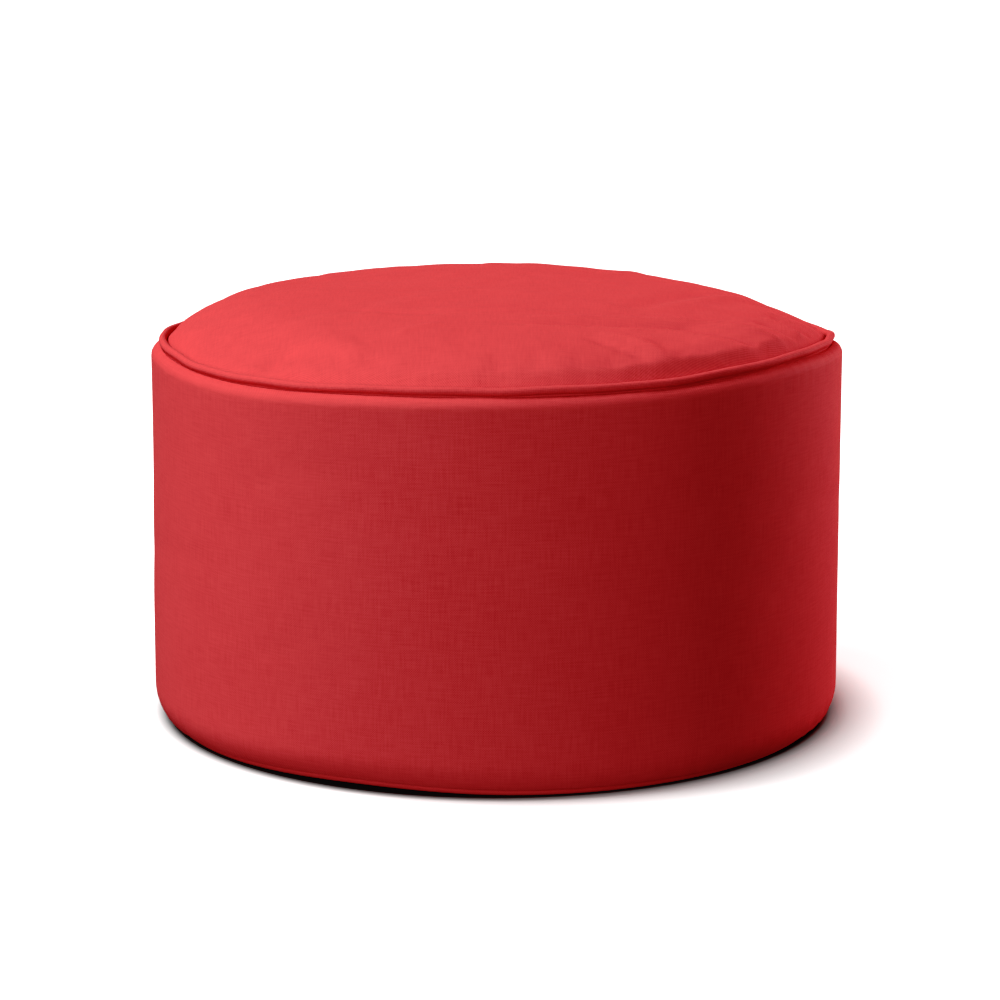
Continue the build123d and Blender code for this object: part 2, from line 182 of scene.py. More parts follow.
def make_floor():
    """White floor with a painted glow of its own that rises with distance from the pouf, and a painted
    contact shadow darkening its colour round the pouf's foot.
    """
    half = FLOOR_HALF
    mesh = bpy.data.meshes.new("floor")
    corners = [(-half, -half, 0), (half, -half, 0), (half, half, 0), (-half, half, 0)]
    mesh.from_pydata(corners, [], [(0, 1, 2, 3)])
    floor = bpy.data.objects.new("floor", mesh)
    bpy.context.collection.objects.link(floor)
    material, tree, shader, add = new_material("white_sweep")
    place = add("ShaderNodeTexCoord").outputs["Object"]
    away = add("ShaderNodeVectorMath", "LENGTH", i0=place).outputs["Value"]
    # Painted light: the floor's own emission. It is none right round the pouf, which reads as a painted
    # contact shadow, and white further out.
    glow = add("ShaderNodeValToRGB", Fac=math_node(add, "MULTIPLY", away, 1 / GLOW_SPAN))
    ramp = glow.color_ramp.elements
    ramp[0].position, ramp[0].color = GLOW_START / GLOW_SPAN, (0, 0, 0, 1)
    ramp[1].position, ramp[1].color = 1.0, (1, 1, 1, 1)
    for distance, level in GLOW_LEVELS:
        ramp.new(distance / GLOW_SPAN).color = (level, level, level, 1)
    tree.links.new(glow.outputs["Color"], shader.inputs["Emission Strength"])
    shader.inputs["Emission Color"].default_value = (1, 1, 1, 1)
    # Painted shadow: the floor's colour is dark close round the pouf's foot and white further out.
    shade = add("ShaderNodeMapRange", Value=away, **CONTACT_SHADE)
    tree.links.new(shade.outputs["Result"], shader.inputs["Base Color"])
    shader.inputs["Roughness"].default_value = 1.0
    shader.inputs["Specular IOR Level"].default_value = 0.0
    mesh.materials.append(material)
    floor.visible_diffuse = False
    floor.visible_glossy = False
    unlit = bpy.data.collections.new("not lit by the card")
    unlit.objects.link(floor)
    unlit.collection_objects[0].light_linking.link_state = "EXCLUDE"
    card.light_linking.receiver_collection = unlit


make_floor()

# ---------------------------------------------------------------- how the filled pouf stands
# The beads have run a little to the back and right, so the piped seam dips at the front left and rises at
# the front right. At the front left the base's edge has lifted off the floor. Every piece follows this.

PIPING_LOW, PIPING_HIGH = (np.array(corner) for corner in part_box("top_piping_cord"))
CORD_R = float(PIPING_HIGH[2] - PIPING_LOW[2]) / 2
RING_R = float(PIPING_HIGH[0]) - CORD_R
RING_Z = float(PIPING_HIGH[2]) - CORD_R
SIDE_R = float(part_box("side_panel")[1][0])
CANVAS = 0.0006
RING_DIPS = [(-138, 26, -0.0040), (-35, 20, 0.0033), (0, 12, -0.0005), (24, 20, -0.0072),
             (180, 25, -0.0012), (164, 14, -0.0050), (9, 9, -0.0022)]
WAIST = [(180, 55, -0.0016)]
WAIST_LEVELS = (0.05, 0.20)
BELLY = [(2, 0.0007), (3, 0.0005), (5, 0.0003)]
DOME_TILT = 0.0018
FOOT_LIFTS = [(-113, 19, 0.0026), (150, 24, 0.0012)]


def smooth_step(value, low, high):
    """0 below low, 1 above high, and a smooth rise between."""
    share = np.clip((value - low) / (high - low), 0, 1)
    return share * share * (3 - 2 * share)


def around(angle, centre):
    """Angle from centre, the short way round."""
    return (angle - centre + math.pi) % (2 * math.pi) - math.pi


def swells(angle, places):
    """Sum of soft rises at (centre, spread, height), with the angles in degrees."""
    total = np.zeros_like(angle)
    for centre, spread, height in places:
        total += height * np.exp(-(around(angle, math.radians(centre)) / math.radians(spread)) ** 2)
    return total


def settle(points):
    """Move points of the evenly filled pouf to where its beads have let them sink."""
    moved = np.array(points, dtype=float)
    x, y, z = moved[:, 0], moved[:, 1], moved[:, 2]
    radius = np.hypot(x, y)
    angle = np.arctan2(y, x)
    at_ring = smooth_step(radius, 0.155, 0.213)
    sink = swells(angle, RING_DIPS) * at_ring - DOME_TILT * (x / RING_R) * (1 - at_ring)
    lift = swells(angle, FOOT_LIFTS) * smooth_step(radius, 0.165, 0.215) * (1 - smooth_step(z, 0.012, 0.06))
    belly = sum(height * np.sin(waves * angle) for waves, height in BELLY)
    outside = smooth_step(radius, 0.1, 0.2)
    widen = belly * smooth_step(z, 0.0, 0.12) * outside / np.maximum(radius, 0.05)
    widen += swells(angle, WAIST) * smooth_step(z, *WAIST_LEVELS) * outside / 0.22
    moved[:, 0] += x * widen
    moved[:, 1] += y * widen
    moved[:, 2] += sink * smooth_step(z, 0.05, 0.24) + lift
    return moved


# ---------------------------------------------------------------- top panel
# One round of red polyester canvas, cut a little larger than the ring that it is sewn to and pushed up
# by the beads, so it lies in a low dome with slack folds and pulls to its seam. Its allowance is turned
# down inside, against the piping's flange.

SEAM_Z = RING_Z - 0.004
ALLOWANCE = 0.0085
FLANGE = 0.0012
YARN = 0.00072
CLEAR = 0.00005
CANVAS_RED = (0.600, 0.047, 0.051)
CANVAS_RED_PALE = (0.66, 0.060, 0.064)
CANVAS_RED_DEEP = (0.47, 0.030, 0.034)


def follow(start, heading, moves):
    """Points along a path of (size, turn, steps) moves in the section plane.

    A turn of 0 is a straight run of that size; any other is a bend of that radius, left turns positive.
    """
    place, angle = np.array(start, dtype=float), math.radians(heading)
    path = [place.copy()]
    for size, turn, steps in moves:
        origin, first = place.copy(), angle
        sweep = math.radians(turn)
        for step in range(1, steps + 1):
            share = step / steps
            if turn == 0:
                place = origin + size * share * np.array([math.cos(first), math.sin(first)])
            else:
                hand = math.copysign(size, turn)
                centre = origin + hand * np.array([-math.sin(first), math.cos(first)])
                angle = first + sweep * share
                place = centre - hand * np.array([-math.sin(angle), math.cos(angle)])
            path.append(place.copy())
    return np.array(path)


def grid_corners(rows, columns, closed, flip=False):
    """Corner indices of a grid of quads: for its vertices, and for cloth coordinates that don't wrap."""
    across = columns if closed else columns - 1
    row, column = np.meshgrid(np.arange(rows - 1), np.arange(across), indexing="ij")
    row, column = row.ravel(), column.ravel()
    after = (column + 1) % columns if closed else column + 1
    corners = [(row, column, column), (row, after, column + 1),
               (row + 1, after, column + 1), (row + 1, column, column)]
    if flip:
        corners.reverse()
    wide = columns + 1 if closed else columns
    faces = np.stack([line * columns + spot for line, spot, _ in corners], axis=1)
    cloth = np.stack([line * wide + spot for line, _, spot in corners], axis=1)
    return faces, cloth


def mesh_from(name, points, faces, cloth=None, coordinates=None):
    """A smooth-shaded object from arrays, with its cloth coordinates in metres as the UV map."""
    mesh = bpy.data.meshes.new(name)
    mesh.from_pydata(np.asarray(points).tolist(), [], [list(map(int, face)) for face in faces])
    if cloth is not None:
        layer = mesh.uv_layers.new(name="cloth")
        spread_out = np.asarray(coordinates)[np.asarray(cloth).ravel()]
        layer.data.foreach_set("uv", spread_out.astype(np.float32).ravel())
    mesh.shade_smooth()
    made = bpy.data.objects.new(name, mesh)
    bpy.context.collection.objects.link(made)
    return made


def made_plain(piece):
    """Turn a piece's evaluated modifiers into its own plain mesh."""
    ready = piece.evaluated_get(bpy.context.evaluated_depsgraph_get())
    mesh = bpy.data.meshes.new_from_object(ready)
    piece.modifiers.clear()
    old = piece.data
    piece.data = mesh
    bpy.data.meshes.remove(old)
    return piece


def thicken(piece, thickness):
    """Give a ply its thickness, inwards from its visible face."""
    wall = piece.modifiers.new("ply", "SOLIDIFY")
    wall.thickness = thickness
    wall.offset = -1
    wall.use_even_offset = False
    return made_plain(piece)


def dress(piece, material):
    """Give a piece its one material."""
    piece.data.materials.clear()
    piece.data.materials.append(material)


def press_with_beads(name, points, faces, pinned, growth, frames=20):
    """Cloth simulation of a sheet held at its pinned points, grown a little and pressed from inside."""
    sheet = mesh_from(name, points, faces)
    group = sheet.vertex_groups.new(name="sewn")
    group.add([int(spot) for spot in pinned], 1.0, "REPLACE")
    cloth = sheet.modifiers.new("beads", "CLOTH")
    rules = cloth.settings
    rules.quality = 6
    rules.mass = 0.2
    rules.tension_stiffness = 25
    rules.compression_stiffness = 12
    rules.shear_stiffness = 6
    rules.bending_stiffness = 0.6
    rules.shrink_min = -growth
    rules.use_pressure = True
    rules.uniform_pressure_force = 4.0
    rules.vertex_group_mass = "sewn"
    rules.effector_weights.gravity = 0
    cloth.collision_settings.use_collision = False
    cloth.point_cache.frame_start = 1
    cloth.point_cache.frame_end = frames
    for step in range(1, frames + 1):
        bpy.context.scene.frame_set(step)
    ready = sheet.evaluated_get(bpy.context.evaluated_depsgraph_get())
    settled = np.empty(len(points) * 3)
    ready.data.vertices.foreach_get("co", settled)
    bpy.data.objects.remove(sheet)
    bpy.context.scene.frame_set(1)
    return settled.reshape(-1, 3) - points


def capped(moves, most):
    """Shorten long moves smoothly, so that none is longer than most."""
    length = np.linalg.norm(moves, axis=-1, keepdims=True)
    return moves * most * np.tanh(length / most) / np.maximum(length, 1e-9)


def canvas_material(name, pale, mid, deep, turn=0.0):
    """Plain-weave polyester canvas from the piece's cloth coordinates."""
    material, tree, shader, add = new_material(name)
    turned = add("ShaderNodeMapping", Vector=cloth_coordinates(add))
    turned.inputs["Rotation"].default_value[2] = math.radians(turn)
    split = add("ShaderNodeSeparateXYZ", Vector=turned.outputs["Vector"])
    waver = add("ShaderNodeTexNoise", Vector=turned.outputs["Vector"], Scale=26.0, Detail=1.0)
    drift = math_node(add, "MULTIPLY", waver.outputs["Fac"], 1.6)
    warp = math_node(add, "MULTIPLY_ADD", split.outputs["X"], math.pi / YARN)
    weft = math_node(add, "MULTIPLY_ADD", split.outputs["Y"], math.pi / YARN)
    for node in (warp.node, weft.node):
        tree.links.new(drift, node.inputs[2])
    over = math_node(add, "MULTIPLY", math_node(add, "SINE", warp), math_node(add, "SINE", weft))
    crown = math_node(add, "POWER", math_node(add, "ABSOLUTE", over), 0.6)

    def streaks(across, along):
        """Thick and thin places that run along one set of yarns."""
        stretch = add("ShaderNodeMapping", Vector=turned.outputs["Vector"])
        stretch.inputs["Scale"].default_value = (across, along, 1)
        noise = add("ShaderNodeTexNoise", Vector=stretch.outputs["Vector"], Scale=1.0, Detail=2.0)
        return noise.outputs["Fac"]

    slubs = math_node(add, "ADD", streaks(900, 60), streaks(60, 900))
    mottle = add("ShaderNodeTexNoise", Vector=turned.outputs["Vector"], Scale=18.0, Detail=3.0).outputs["Fac"]
    shade = math_node(add, "MULTIPLY_ADD", over, 0.30)
    yarns = math_node(add, "MULTIPLY_ADD", slubs, 0.42)
    tree.links.new(yarns, shade.node.inputs[2])
    tree.links.new(math_node(add, "MULTIPLY", mottle, 0.16), yarns.node.inputs[2])
    tint = add("ShaderNodeValToRGB", Fac=shade)
    ramp = tint.color_ramp.elements
    ramp[0].position, ramp[0].color = 0.12, (*deep, 1)
    ramp[1].position, ramp[1].color = 0.88, (*pale, 1)
    middle = ramp.new(0.5)
    middle.color = (*mid, 1)
    tree.links.new(tint.outputs["Color"], shader.inputs["Base Color"])
    rough = math_node(add, "MULTIPLY_ADD", crown, -0.14)
    rough.node.inputs[2].default_value = 0.82
    tree.links.new(rough, shader.inputs["Roughness"])
    height = math_node(add, "MULTIPLY_ADD", slubs, 0.45)
    tree.links.new(crown, height.node.inputs[2])
    bump = add("ShaderNodeBump", Height=height, Strength=0.45, Distance=0.00016)
    tree.links.new(bump.outputs["Normal"], shader.inputs["Normal"])
    shader.inputs["Specular IOR Level"].default_value = 0.08
    return material


canvas = canvas_material("red_canvas", CANVAS_RED_PALE, CANVAS_RED, CANVAS_RED_DEEP)

TOP_START = (RING_R - FLANGE / 2 - CLEAR, SEAM_Z - ALLOWANCE)
TUCK_MOVES = [(ALLOWANCE - 0.0012, 0, 3), (0.0008, 90, 3), (0.0003, 0, 1), (0.0014, -80, 3)]
DOME_MOVES = [(0.0100, 56.0, 12), (0.2350, 20.0, 30)]
TOP_GRID = 80


def to_middle(start, heading, moves, flat_heading):
    """Add the one large bend that brings a path to the middle of the pouf, dead level."""
    place = follow(start, heading, moves)[-1]
    turn = flat_heading - heading - sum(turned for _, turned, _ in moves)
    return moves + [(place[0] / math.sin(math.radians(turn)), turn, 30)]


def free_section(path, count):
    """Radius, height and cloth distance along a path that ends in the middle, counted from the middle."""
    inward = path[::-1]
    reach = np.concatenate([[0], np.cumsum(np.linalg.norm(np.diff(inward, axis=0), axis=1))])
    share = np.linspace(0, 1, count)
    wanted = reach[-1] * (share * 1.25 - 0.25 * share ** 3)
    return np.interp(wanted, reach, inward[:, 0]), np.interp(wanted, reach, inward[:, 1]), wanted


TOP_PATH = follow(TOP_START, 90, to_middle(TOP_START, 90, TUCK_MOVES + DOME_MOVES, 180))
TOP_FREE = TOP_PATH[sum(steps for _, _, steps in TUCK_MOVES):]


def square_to_round(cells):
    """Ring share and angle of a square grid's points, laid out so that its square rings become circles."""
    line = np.linspace(-1, 1, cells + 1)
    across, along = np.meshgrid(line, line, indexing="ij")
    ring = np.maximum(np.abs(across), np.abs(along))
    wide = np.abs(across) >= np.abs(along)
    steep_across = np.where(wide & (across != 0), across, 1)
    steep_along = np.where(wide | (along == 0), 1, along)
    sideways = np.where(across >= 0, 0, math.pi) + (math.pi / 4) * along / steep_across
    lengthways = np.where(along >= 0, 1, -1) * math.pi / 2 - (math.pi / 4) * across / steep_along
    return ring, np.where(wide, sideways, lengthways)


def round_points(path, cells):
    """A round sheet with this section on a square grid, its cloth coordinates and its ring numbers."""
    ring, angle = square_to_round(cells)
    radius, height, reach = free_section(path, cells // 2 + 1)
    place = np.rint(ring * (cells // 2)).astype(int)
    points = np.stack([radius[place] * np.cos(angle), radius[place] * np.sin(angle), height[place]], axis=-1)
    flat = np.stack([reach[place] * np.cos(angle), reach[place] * np.sin(angle)], axis=-1)
    return points, flat, place


def finer(field, closed=False):
    """Twice as many steps along the first axis, on a smooth curve through the old values."""
    if closed:
        before, after, beyond = np.roll(field, 1, 0), np.roll(field, -1, 0), np.roll(field, -2, 0)
        middles = (9 * (field + after) - before - beyond) / 16
        return np.stack([field, middles], axis=1).reshape(-1, *field.shape[1:])
    padded = np.concatenate([2 * field[:1] - field[1:2], field, 2 * field[-1:] - field[-2:-1]])
    middles = (9 * (padded[1:-2] + padded[2:-1]) - padded[:-3] - padded[3:]) / 16
    made = np.empty((2 * len(field) - 1, *field.shape[1:]))
    made[0::2] = field
    made[1::2] = middles
    return made


def smoothed(field, times):
    """Even out the smallest ripples of a field on a grid."""
    for _ in range(times):
        padded = np.pad(field, ((1, 1), (1, 1), (0, 0)), mode="edge")
        beside = padded[:-2, 1:-1] + padded[2:, 1:-1] + padded[1:-1, :-2] + padded[1:-1, 2:]
        field = field / 2 + beside / 8
    return field


def without_ring_mean(moves, place):
    """Take the even swelling out of a field of moves, ring by ring, and leave its folds."""
    flat_place = place.ravel()
    flat_moves = moves.reshape(-1, 3).copy()
    counts = np.bincount(flat_place)
    for axis in range(3):
        mean = np.bincount(flat_place, flat_moves[:, axis]) / counts
        flat_moves[:, axis] -= mean[flat_place]
    return flat_moves.reshape(moves.shape)


# Folds and pulls, each from one end to the other in plan, with its half width and how far it rises or sinks.
TOP_FOLDS = [
    ((-0.130, -0.105), (-0.070, -0.088), 0.012, 0.0012),
    ((-0.077, -0.092), (-0.018, -0.011), 0.014, 0.0013),
    ((-0.018, -0.011), (0.085, -0.076), 0.012, 0.0012),
    ((0.011, -0.122), (0.128, -0.103), 0.0045, -0.0016),
    ((0.020, -0.112), (0.125, -0.093), 0.006, 0.0014),
    ((-0.044, -0.082), (0.045, -0.095), 0.005, 0.0013),
    ((-0.088, -0.077), (-0.034, -0.094), 0.005, -0.0012),
    ((0.105, -0.092), (0.181, -0.109), 0.0045, 0.0028),
    ((0.116, -0.110), (0.166, -0.129), 0.0065, -0.0028),
    ((0.165, -0.070), (0.187, -0.088), 0.005, -0.0028),
    ((0.176, -0.040), (0.197, -0.064), 0.005, -0.0028),
    ((0.172, -0.056), (0.192, -0.078), 0.004, 0.0018),
    ((0.066, -0.140), (0.103, -0.173), 0.004, 0.0017),
    ((0.056, -0.152), (0.093, -0.181), 0.005, -0.0017),
    ((-0.112, -0.128), (-0.078, -0.178), 0.010, 0.0022),
    ((-0.122, -0.138), (-0.148, -0.158), 0.010, -0.0026),
    ((-0.061, -0.146), (-0.032, -0.124), 0.005, 0.0010),
    ((0.083, -0.068), (0.140, 0.020), 0.012, -0.0020),
    ((0.100, -0.060), (0.160, 0.010), 0.010, 0.0016),
    ((-0.205, -0.024), (-0.178, -0.088), 0.010, 0.0014),
    ((0.010, 0.150), (-0.040, 0.195), 0.010, 0.0012),
    ((0.090, 0.130), (0.120, 0.172), 0.009, 0.0014),
    ((-0.110, 0.120), (-0.140, 0.155), 0.009, 0.0012),
]
HOLLOWS = [
    ((-0.135, -0.125), (0.040, 0.028), 0.0016),
    ((0.020, 0.170), (0.110, 0.035), 0.0020),
    ((-0.090, 0.040), (0.080, 0.050), 0.0016),
    ((0.120, 0.060), (0.060, 0.060), 0.0016),
]
PUFFS = [(-48, 34, 0.0062), (-100, 30, 0.0026), (168, 24, 0.0036)]
SLACK_SHARE = 0.9
SLACK_MOST = 0.0045
TOP_GROWTH = 0.014


def stroke(points, start, end, half_width, rise):
    """Height of one soft fold along a line in plan, fading at its ends."""
    start, end = np.array(start), np.array(end)
    along = end - start
    length = np.linalg.norm(along)
    unit = along / length
    offset = points[..., :2] - start
    share = (offset @ unit) / length
    side = offset @ np.array([-unit[1], unit[0]])
    bow = 0.10 * length * np.sin(math.pi * np.clip(share, 0, 1)) * (1 if rise > 0 else -1)
    ends = smooth_step(share, -0.18, 0.22) * (1 - smooth_step(share, 0.80, 1.12))
    return rise * ends * np.exp(-((side - bow * 0.3) / half_width) ** 2)


def hollow(points, centre, size, depth):
    """A shallow sunken place in the top."""
    offset = (points[..., :2] - np.array(centre)) / np.array(size)
    return -depth * np.exp(-np.sum(offset ** 2, axis=-1))


def seam_puckers(angle, distance, depth, reach, seed):
    """Small uneven gathers that a seam draws into the cloth beside it."""
    draw = np.random.default_rng(seed)
    wave = np.zeros_like(angle)
    for turns in draw.integers(48, 150, 9):
        wave += np.sin(turns * angle + draw.uniform(0, 6.283)) * draw.uniform(0.5, 1.0)
    broad = np.sin(5 * angle + draw.uniform(0, 6.283)) * np.sin(3 * angle + draw.uniform(0, 6.283))
    return depth * (wave / 4.0) * (0.55 + 0.45 * broad) * np.exp(-distance / reach)


def round_rim(place, angle):
    """A round sheet's outermost points in order round it, and their angles."""
    rim = np.flatnonzero(place.ravel() == place.max())
    rim = rim[np.argsort(angle.ravel()[rim] % (2 * math.pi), kind="stable")]
    return rim, angle.ravel()[rim] % (2 * math.pi)


def reached(path):
    """Distance along a path at each of its points."""
    return np.concatenate([[0], np.cumsum(np.linalg.norm(np.diff(path, axis=0), axis=1))])


def skirted(points, flat, place, angle, tail, edge):
    """Carry a round sheet's rim on along a section path: all points, cloth coordinates and faces."""
    cells = points.shape[0] - 1
    rim, turn = round_rim(place, angle)
    rows = [np.stack([r * np.cos(turn), r * np.sin(turn), np.full_like(turn, z)], 1) for r, z in tail[1:]]
    sewn = [np.stack([s * np.cos(turn), s * np.sin(turn)], 1) for s in edge + reached(tail)[1:]]
    first = points.shape[0] * points.shape[1]
    loops = [rim] + [np.arange(len(rim)) + first + row * len(rim) for row in range(len(rows))]
    faces = [grid_corners(cells + 1, cells + 1, False)[0]]
    for upper, lower in zip(loops, loops[1:]):
        faces.append(np.stack([upper, lower, np.roll(lower, -1), np.roll(upper, -1)], 1))
    return (np.concatenate([points.reshape(-1, 3), *rows]), np.concatenate([flat.reshape(-1, 2), *sewn]),
            np.concatenate(faces))


def top_relief():
    """How far each point of the top moves: simulated slack, then its folds and hollows."""
    coarse, _, place = round_points(TOP_FREE, TOP_GRID)
    faces, _ = grid_corners(TOP_GRID + 1, TOP_GRID + 1, False)
    pinned = np.flatnonzero(place.ravel() == TOP_GRID // 2)
    draw = np.random.default_rng(11)
    nudge = draw.normal(0, 0.0004, coarse.shape) * (place < TOP_GRID // 2)[..., None]
    moves = press_with_beads("top_sheet", (coarse + nudge).reshape(-1, 3), faces, pinned, TOP_GROWTH)
    moves = without_ring_mean(moves.reshape(coarse.shape), place)
    moves = finer(finer(smoothed(capped(moves, SLACK_MOST), 3)).transpose(1, 0, 2)).transpose(1, 0, 2)
    points, flat, _ = round_points(TOP_FREE, TOP_GRID * 2)
    distance = np.hypot(flat[-1, 0, 0], flat[-1, 0, 1]) - np.hypot(flat[..., 0], flat[..., 1])
    free = smooth_step(distance, 0.0, 0.009)
    points = points + moves * SLACK_SHARE
    for fold in TOP_FOLDS:
        moves[..., 2] += stroke(points, *fold) / SLACK_SHARE
    for sunk in HOLLOWS:
        moves[..., 2] += hollow(points, *sunk) / SLACK_SHARE
    puffed = smooth_step(distance, 0.003, 0.014) * (1 - smooth_step(distance, 0.022, 0.085))
    moves[..., 2] += swells(np.arctan2(points[..., 1], points[..., 0]), PUFFS) * puffed
    return moves * free[..., None] * SLACK_SHARE, distance, free


def make_top_panel(relief, distance, free):
    """The domed round with its turned-down allowance, puckered beside the seam."""
    points, flat, place = round_points(TOP_FREE, TOP_GRID * 2)
    _, angle = square_to_round(TOP_GRID * 2)
    points = points + relief
    points[..., 2] += seam_puckers(angle, distance, 0.00035, 0.007, 5) * free
    tail = follow(TOP_START, 90, TUCK_MOVES)[::-1]
    edge = float(np.hypot(flat[-1, 0, 0], flat[-1, 0, 1]))
    points, flat, faces = skirted(points, flat, place, angle, tail, edge)
    panel = mesh_from("top_panel_canvas", settle(points), faces, faces, flat)
    thicken(panel, CANVAS)
    dress(panel, canvas)
    return panel


relief, rim_distance, rim_free = top_relief()
top_panel = make_top_panel(relief, rim_distance, rim_free)
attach(top_panel, "cover")
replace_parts(top_panel, "top_panel")

# ---------------------------------------------------------------- side band
# One long strip of the same canvas, closed by a vertical seam at the back. It rolls over a small shoulder
# under the piping and turns in under the foot to the base seam. The seams draw small puckers into it.

CREASE_Z = 0.005
SIDE_START = (RING_R + FLANGE / 2 + CLEAR, SEAM_Z - ALLOWANCE)
SHOULDER_HEADING = -20.0
SHOULDER = [(ALLOWANCE - 0.0004, 0, 3), (0.0010, SHOULDER_HEADING - 90, 5)]
SHOULDER_OVER = [(0.0070, -70.0, 8)]
FOOT = [(0.0272, -33.4, 5), (0.0008, -56.6, 3), (0.0115, 0, 3)]
SIDE_AROUND = 216
SIDE_UP = 42
BACK_SEAM_ALLOWANCE = 0.010
BACK_GROOVE = (0.0011, 0.0016)
BACK_RIDGE = (0.0005, 0.006, 0.003)
TOP_PUCKERS = (0.00055, 0.009, 7)
FOOT_PUCKERS = (0.0006, 0.010, 9)
SIDE_GROWTH = 0.006


def side_section():
    """Stations from the top allowance down to the base allowance, and which of them are the free wall."""
    rolled = follow(SIDE_START, 90, SHOULDER + SHOULDER_OVER)[-1][0]
    room = (SIDE_R - rolled) / math.cos(math.radians(SHOULDER_HEADING))
    over = SHOULDER + [(room, 0, 1)] + SHOULDER_OVER
    wall_top = follow(SIDE_START, 90, over)[-1]
    foot_drop = -follow((SIDE_R, 0.0), -90, FOOT[:2])[-1][1]
    wall = wall_top[1] - foot_drop - CREASE_Z - CLEAR
    path = follow(SIDE_START, 90, over + [(wall, 0, 2 * SIDE_UP)] + FOOT)
    first = len(follow(SIDE_START, 90, over)) - 1
    return path, first, first + 2 * SIDE_UP


def back_seam_relief(arc, height):
    """The groove of the back seam, the ridges over its pressed-open allowances and their ripple."""
    on_wall = smooth_step(height, 0.02, 0.04) * (1 - smooth_step(height, 0.225, 0.24))
    groove = -BACK_GROOVE[0] * np.exp(-(arc / BACK_GROOVE[1]) ** 2)
    ridge = BACK_RIDGE[0] * np.exp(-((np.abs(arc) - BACK_RIDGE[1]) / BACK_RIDGE[2]) ** 2)
    ripple = np.sin(height * 2 * math.pi / 0.013) * np.sin(height * 2 * math.pi / 0.041 + 1.0)
    return (groove + ridge + 0.00035 * ripple * np.exp(-(np.abs(arc) - 0.004) ** 2 / 0.007 ** 2)) * on_wall


def back_allowance(hand):
    """One allowance of the back seam, pressed open against the band's inner face."""
    stations = np.linspace(0.020, 0.220, 101), np.linspace(0.0004, BACK_SEAM_ALLOWANCE, 8)
    level, arc = np.meshgrid(*stations, indexing="ij")
    radius = SIDE_R - CANVAS - 0.0001 + back_seam_relief(arc, level)
    angle = math.pi / 2 + hand * arc / SIDE_R
    points = np.stack([radius * np.cos(angle), radius * np.sin(angle), level], axis=-1).reshape(-1, 3)
    faces, _ = grid_corners(*level.shape, False, flip=hand > 0)
    return points, np.stack([hand * arc, level], axis=-1).reshape(-1, 2), faces


def make_side_panel():
    """The band: its wall is simulated, then puckered beside both seams and drawn in at the back seam."""
    path, first, last = side_section()
    wall = path[first:last + 1]
    turns = np.arange(SIDE_AROUND) / SIDE_AROUND * 2 * math.pi + math.pi / 2
    coarse = np.stack([
        wall[::2, 0][:, None] * np.cos(turns)[None],
        wall[::2, 0][:, None] * np.sin(turns)[None],
        np.repeat(wall[::2, 1][:, None], SIDE_AROUND, 1),
    ], axis=-1)
    faces, _ = grid_corners(SIDE_UP + 1, SIDE_AROUND, True, flip=True)
    index = np.arange(coarse.shape[0] * SIDE_AROUND).reshape(-1, SIDE_AROUND)
    pinned = np.concatenate([index[0], index[-1]])
    draw = np.random.default_rng(23)
    start = coarse + draw.normal(0, 0.0003, coarse.shape)
    start[0], start[-1] = coarse[0], coarse[-1]
    moves = press_with_beads("side_sheet", start.reshape(-1, 3), faces, pinned, SIDE_GROWTH)
    moves = moves.reshape(coarse.shape)
    away = np.stack([np.cos(turns), np.sin(turns)], 1)[None]
    swell = np.sum(moves[..., :2] * away, axis=-1)
    swell -= swell.mean(axis=1, keepdims=True)
    swell = 0.0004 * np.tanh(smoothed(swell[..., None], 3)[..., 0] / 0.0022)
    swell = finer(finer(swell).T, closed=True).T
    around_count = SIDE_AROUND * 2
    turns = np.arange(around_count + 1) / around_count * 2 * math.pi + math.pi / 2
    angle = turns[:-1]
    radius = np.repeat(path[:, 0][:, None], around_count, 1)
    height = np.repeat(path[:, 1][:, None], around_count, 1)
    radius[first:last + 1] += swell
    from_top = reached(path)
    shoulder = from_top[first] - 0.010
    below = np.abs(from_top - shoulder)[:, None]
    turned = np.broadcast_to(angle, radius.shape)
    radius += np.where(from_top[:, None] > ALLOWANCE, seam_puckers(turned, below, *TOP_PUCKERS), 0)
    crease = from_top[-4]
    above = np.abs(crease - from_top)[:, None]
    radius += np.where(from_top[:, None] < crease, seam_puckers(turned, above, *FOOT_PUCKERS), 0)
    radius += back_seam_relief(around(turned, math.pi / 2) * SIDE_R, height)
    points = np.stack([radius * np.cos(angle), radius * np.sin(angle), height], axis=-1)
    faces, cloth = grid_corners(len(path), around_count, True, flip=True)
    flat = np.stack([
        np.repeat((turns * SIDE_R)[None], len(path), 0),
        np.repeat(-from_top[:, None], around_count + 1, 1),
    ], axis=-1)
    points, flat = points.reshape(-1, 3), flat.reshape(-1, 2)
    for hand in (-1, 1):
        strip_points, strip_flat, strip_faces = back_allowance(hand)
        faces = np.concatenate([faces, strip_faces + len(points)])
        cloth = np.concatenate([cloth, strip_faces + len(flat)])
        points, flat = np.concatenate([points, strip_points]), np.concatenate([flat, strip_flat])
    band = mesh_from("side_band_canvas", settle(points), faces, cloth, flat)
    thicken(band, CANVAS)
    dress(band, canvas)
    return band


side_band = make_side_panel()
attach(side_band, "cover")
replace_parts(side_band, "side_panel")

# ---------------------------------------------------------------- piping
# A four millimetre cotton cord in a bias strip of the same canvas. The strip's two edges hang down as a
# flange that is caught between the top and the side, so only the round bulb shows.

BULB_R = CORD_R + CANVAS
PIPING_AROUND = 640
PIPING_WAVER = [(0.00028, 17, 1.0), (0.00022, 29, 2.0), (0.0002, 7, 0.0)]
PIPING_LIFT = [(0.00022, 13, 0.4), (0.00018, 23, 3.0)]


def piping_centre(angle):
    """Radius and height of the piping's middle, which wavers a little with each needle stop."""
    waver = sum(size * np.sin(waves * angle + start) for size, waves, start in PIPING_WAVER)
    lift = sum(size * np.sin(waves * angle + start) for size, waves, start in PIPING_LIFT)
    return RING_R + waver, RING_Z + lift


